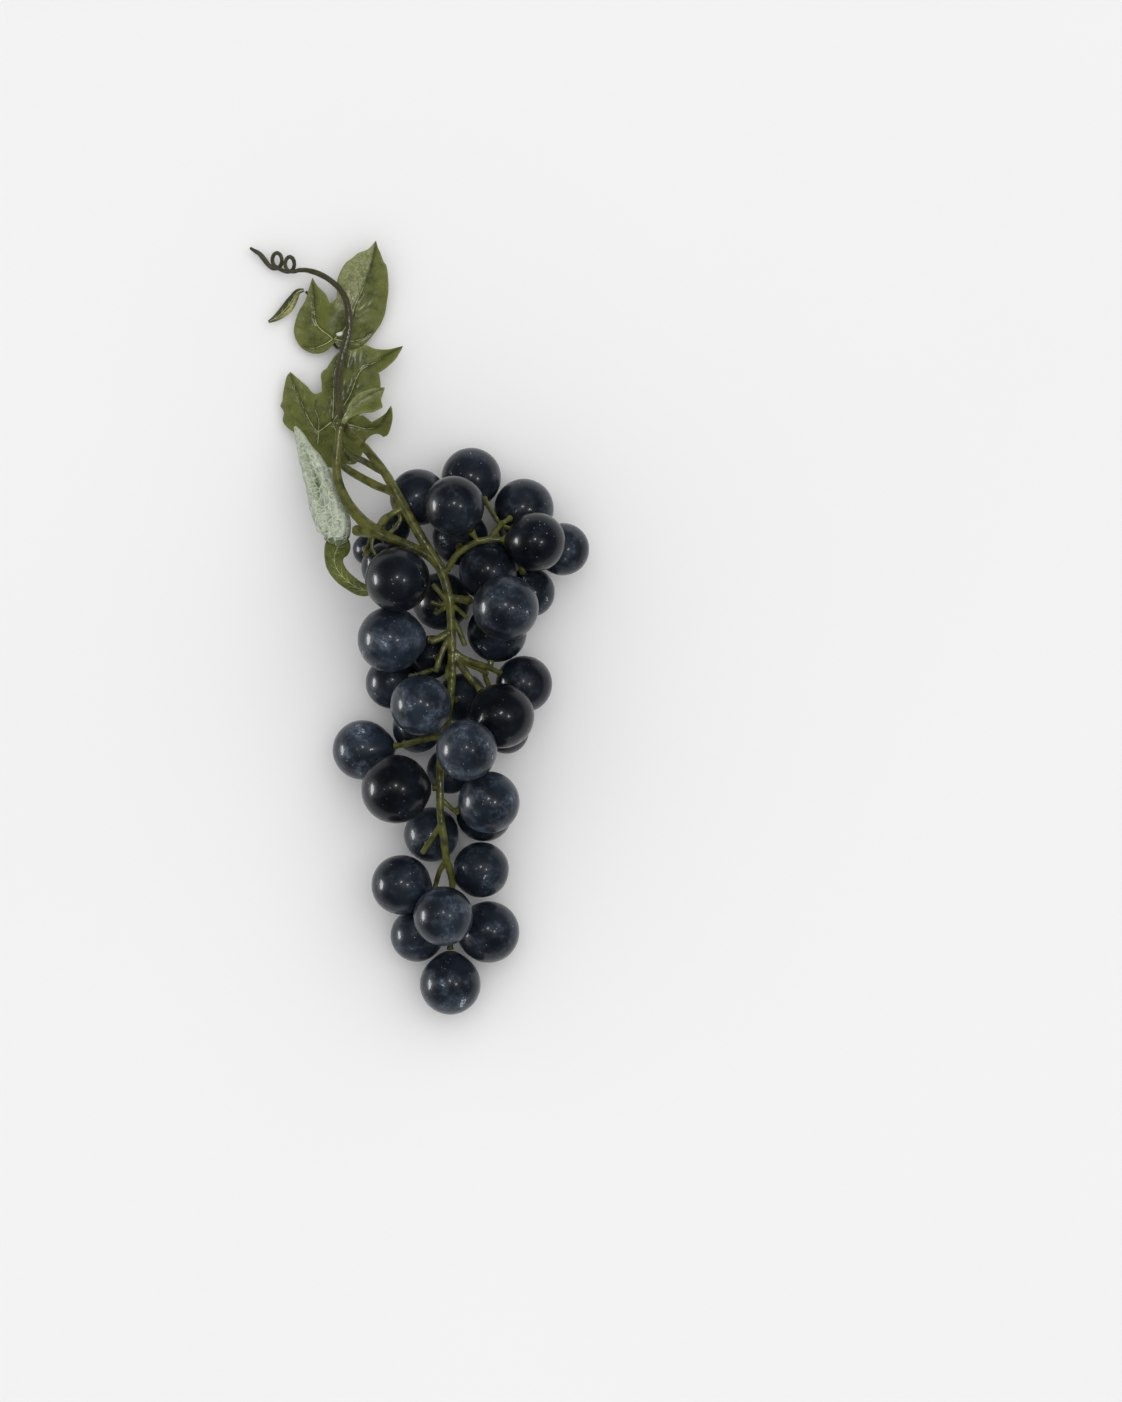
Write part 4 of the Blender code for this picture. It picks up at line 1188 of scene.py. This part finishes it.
# %% [markdown]
# A pale room lights the bunch softly. The dome, and a broad lamp high on the upper right, give only soft
# light and leave no reflection. Three small lamps do the opposite: they give no soft light and leave only
# the pin-point glints. A low window on the left also gives only a reflection, and only to the berries:
# the soft bright patch on their left sides. As a plain lamp it would throw a long grey shadow over the
# table and put white bands on the stem.

# %% The lights
DOME_STRENGTH = 0.83
BROAD_LIGHT = {"direction": (0.36, 0.54, 1.3), "power": 0.86, "angle": 75}
LEFT_WINDOW = {"direction": (-1.3, 0.0, 0.02), "power": 5.4, "angle": 26}
# Lamps that glint: name, place in metres, side in metres, power in watts.
GLINTS = (
    ("glint_a", (0.0, 0.30, 1.65), 0.17, 4.6),
    ("glint_b", (0.72, -0.04, 1.6), 0.17, 4.6),
    ("glint_c", (-0.56, 0.05, 1.6), 0.11, 1.0),
)
BUNCH_MIDDLE = (0.01, -0.02, 0.02)


def hang_lamp(name, kind, location, target, power):
    lamp = bpy.data.lights.new(name, kind)
    lamp.energy = power
    obj = bpy.data.objects.new(name, lamp)
    obj.location = location
    obj.rotation_euler = (Vector(target) - obj.location).to_track_quat("-Z", "Y").to_euler()
    bpy.context.scene.collection.objects.link(obj)
    return obj


def sun_lamp(name, direction, power, angle):
    obj = hang_lamp(name, "SUN", direction, (0, 0, 0), power)
    obj.data.angle = math.radians(angle)
    return obj


def make_dome():
    world = bpy.data.worlds.new("soft_dome")
    bpy.context.scene.world = world
    world.use_nodes = True
    background = world.node_tree.nodes["Background"]
    background.inputs["Color"].default_value = (1.0, 1.0, 1.0, 1)
    background.inputs["Strength"].default_value = DOME_STRENGTH
    world.cycles_visibility.glossy = False


def make_lights():
    sun_lamp("broad_light", **BROAD_LIGHT).visible_glossy = False
    window = sun_lamp("left_window", **LEFT_WINDOW)
    window.visible_diffuse = False
    by_the_window = bpy.data.collections.new("berries_by_the_window")
    for grape in grapes:
        by_the_window.objects.link(grape)
    window.light_linking.receiver_collection = by_the_window
    for name, location, side, power in GLINTS:
        glint = hang_lamp(name, "AREA", location, BUNCH_MIDDLE, power)
        glint.data.shape = "RECTANGLE"
        glint.data.size = glint.data.size_y = side
        glint.visible_diffuse = False


make_dome()
make_lights()

# %% [markdown]
# The camera looks straight down, as the photographer did. A long lens far away keeps the berries' sizes
# true. The picture is 1122 by 1402 and covers 0.4 mm for each of its pixels at the berries' height.

# %% The camera
PICTURE = (1122, 1402)
CAMERA_HEIGHT = 6.0
BERRY_HEIGHT = 0.025  # where one pixel of the picture covers one step of the grid
FILM = 36  # mm
FAR_ENOUGH = 20


def make_camera():
    camera = bpy.data.cameras.new("camera")
    camera.sensor_fit = "VERTICAL"
    camera.sensor_height = FILM
    camera.lens = FILM * (CAMERA_HEIGHT - BERRY_HEIGHT) / (PICTURE[1] * STEP)
    camera.clip_end = FAR_ENOUGH
    obj = bpy.data.objects.new("camera", camera)
    obj.location = (*place(PICTURE[0] / 2, PICTURE[1] / 2)[:2], CAMERA_HEIGHT)
    bpy.context.scene.collection.objects.link(obj)
    bpy.context.scene.camera = obj
    bpy.context.scene.view_settings.view_transform = "Standard"
    return obj


camera = make_camera()
print("lens, mm:", round(camera.data.lens, 1))

# %% [markdown]
# Last, the size of the dressed model is written beside that of the CAD model, so that the two can be
# compared: the dressing must stay inside the box of the solids.

# %% Compare the sizes
low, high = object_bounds()
below = [round((a - b) / MM, 2) for a, b in zip(cad_low, low)]
above = [round((b - a) / MM, 2) for a, b in zip(cad_high, high)]
print("grows beyond the CAD box, mm:", below, above)
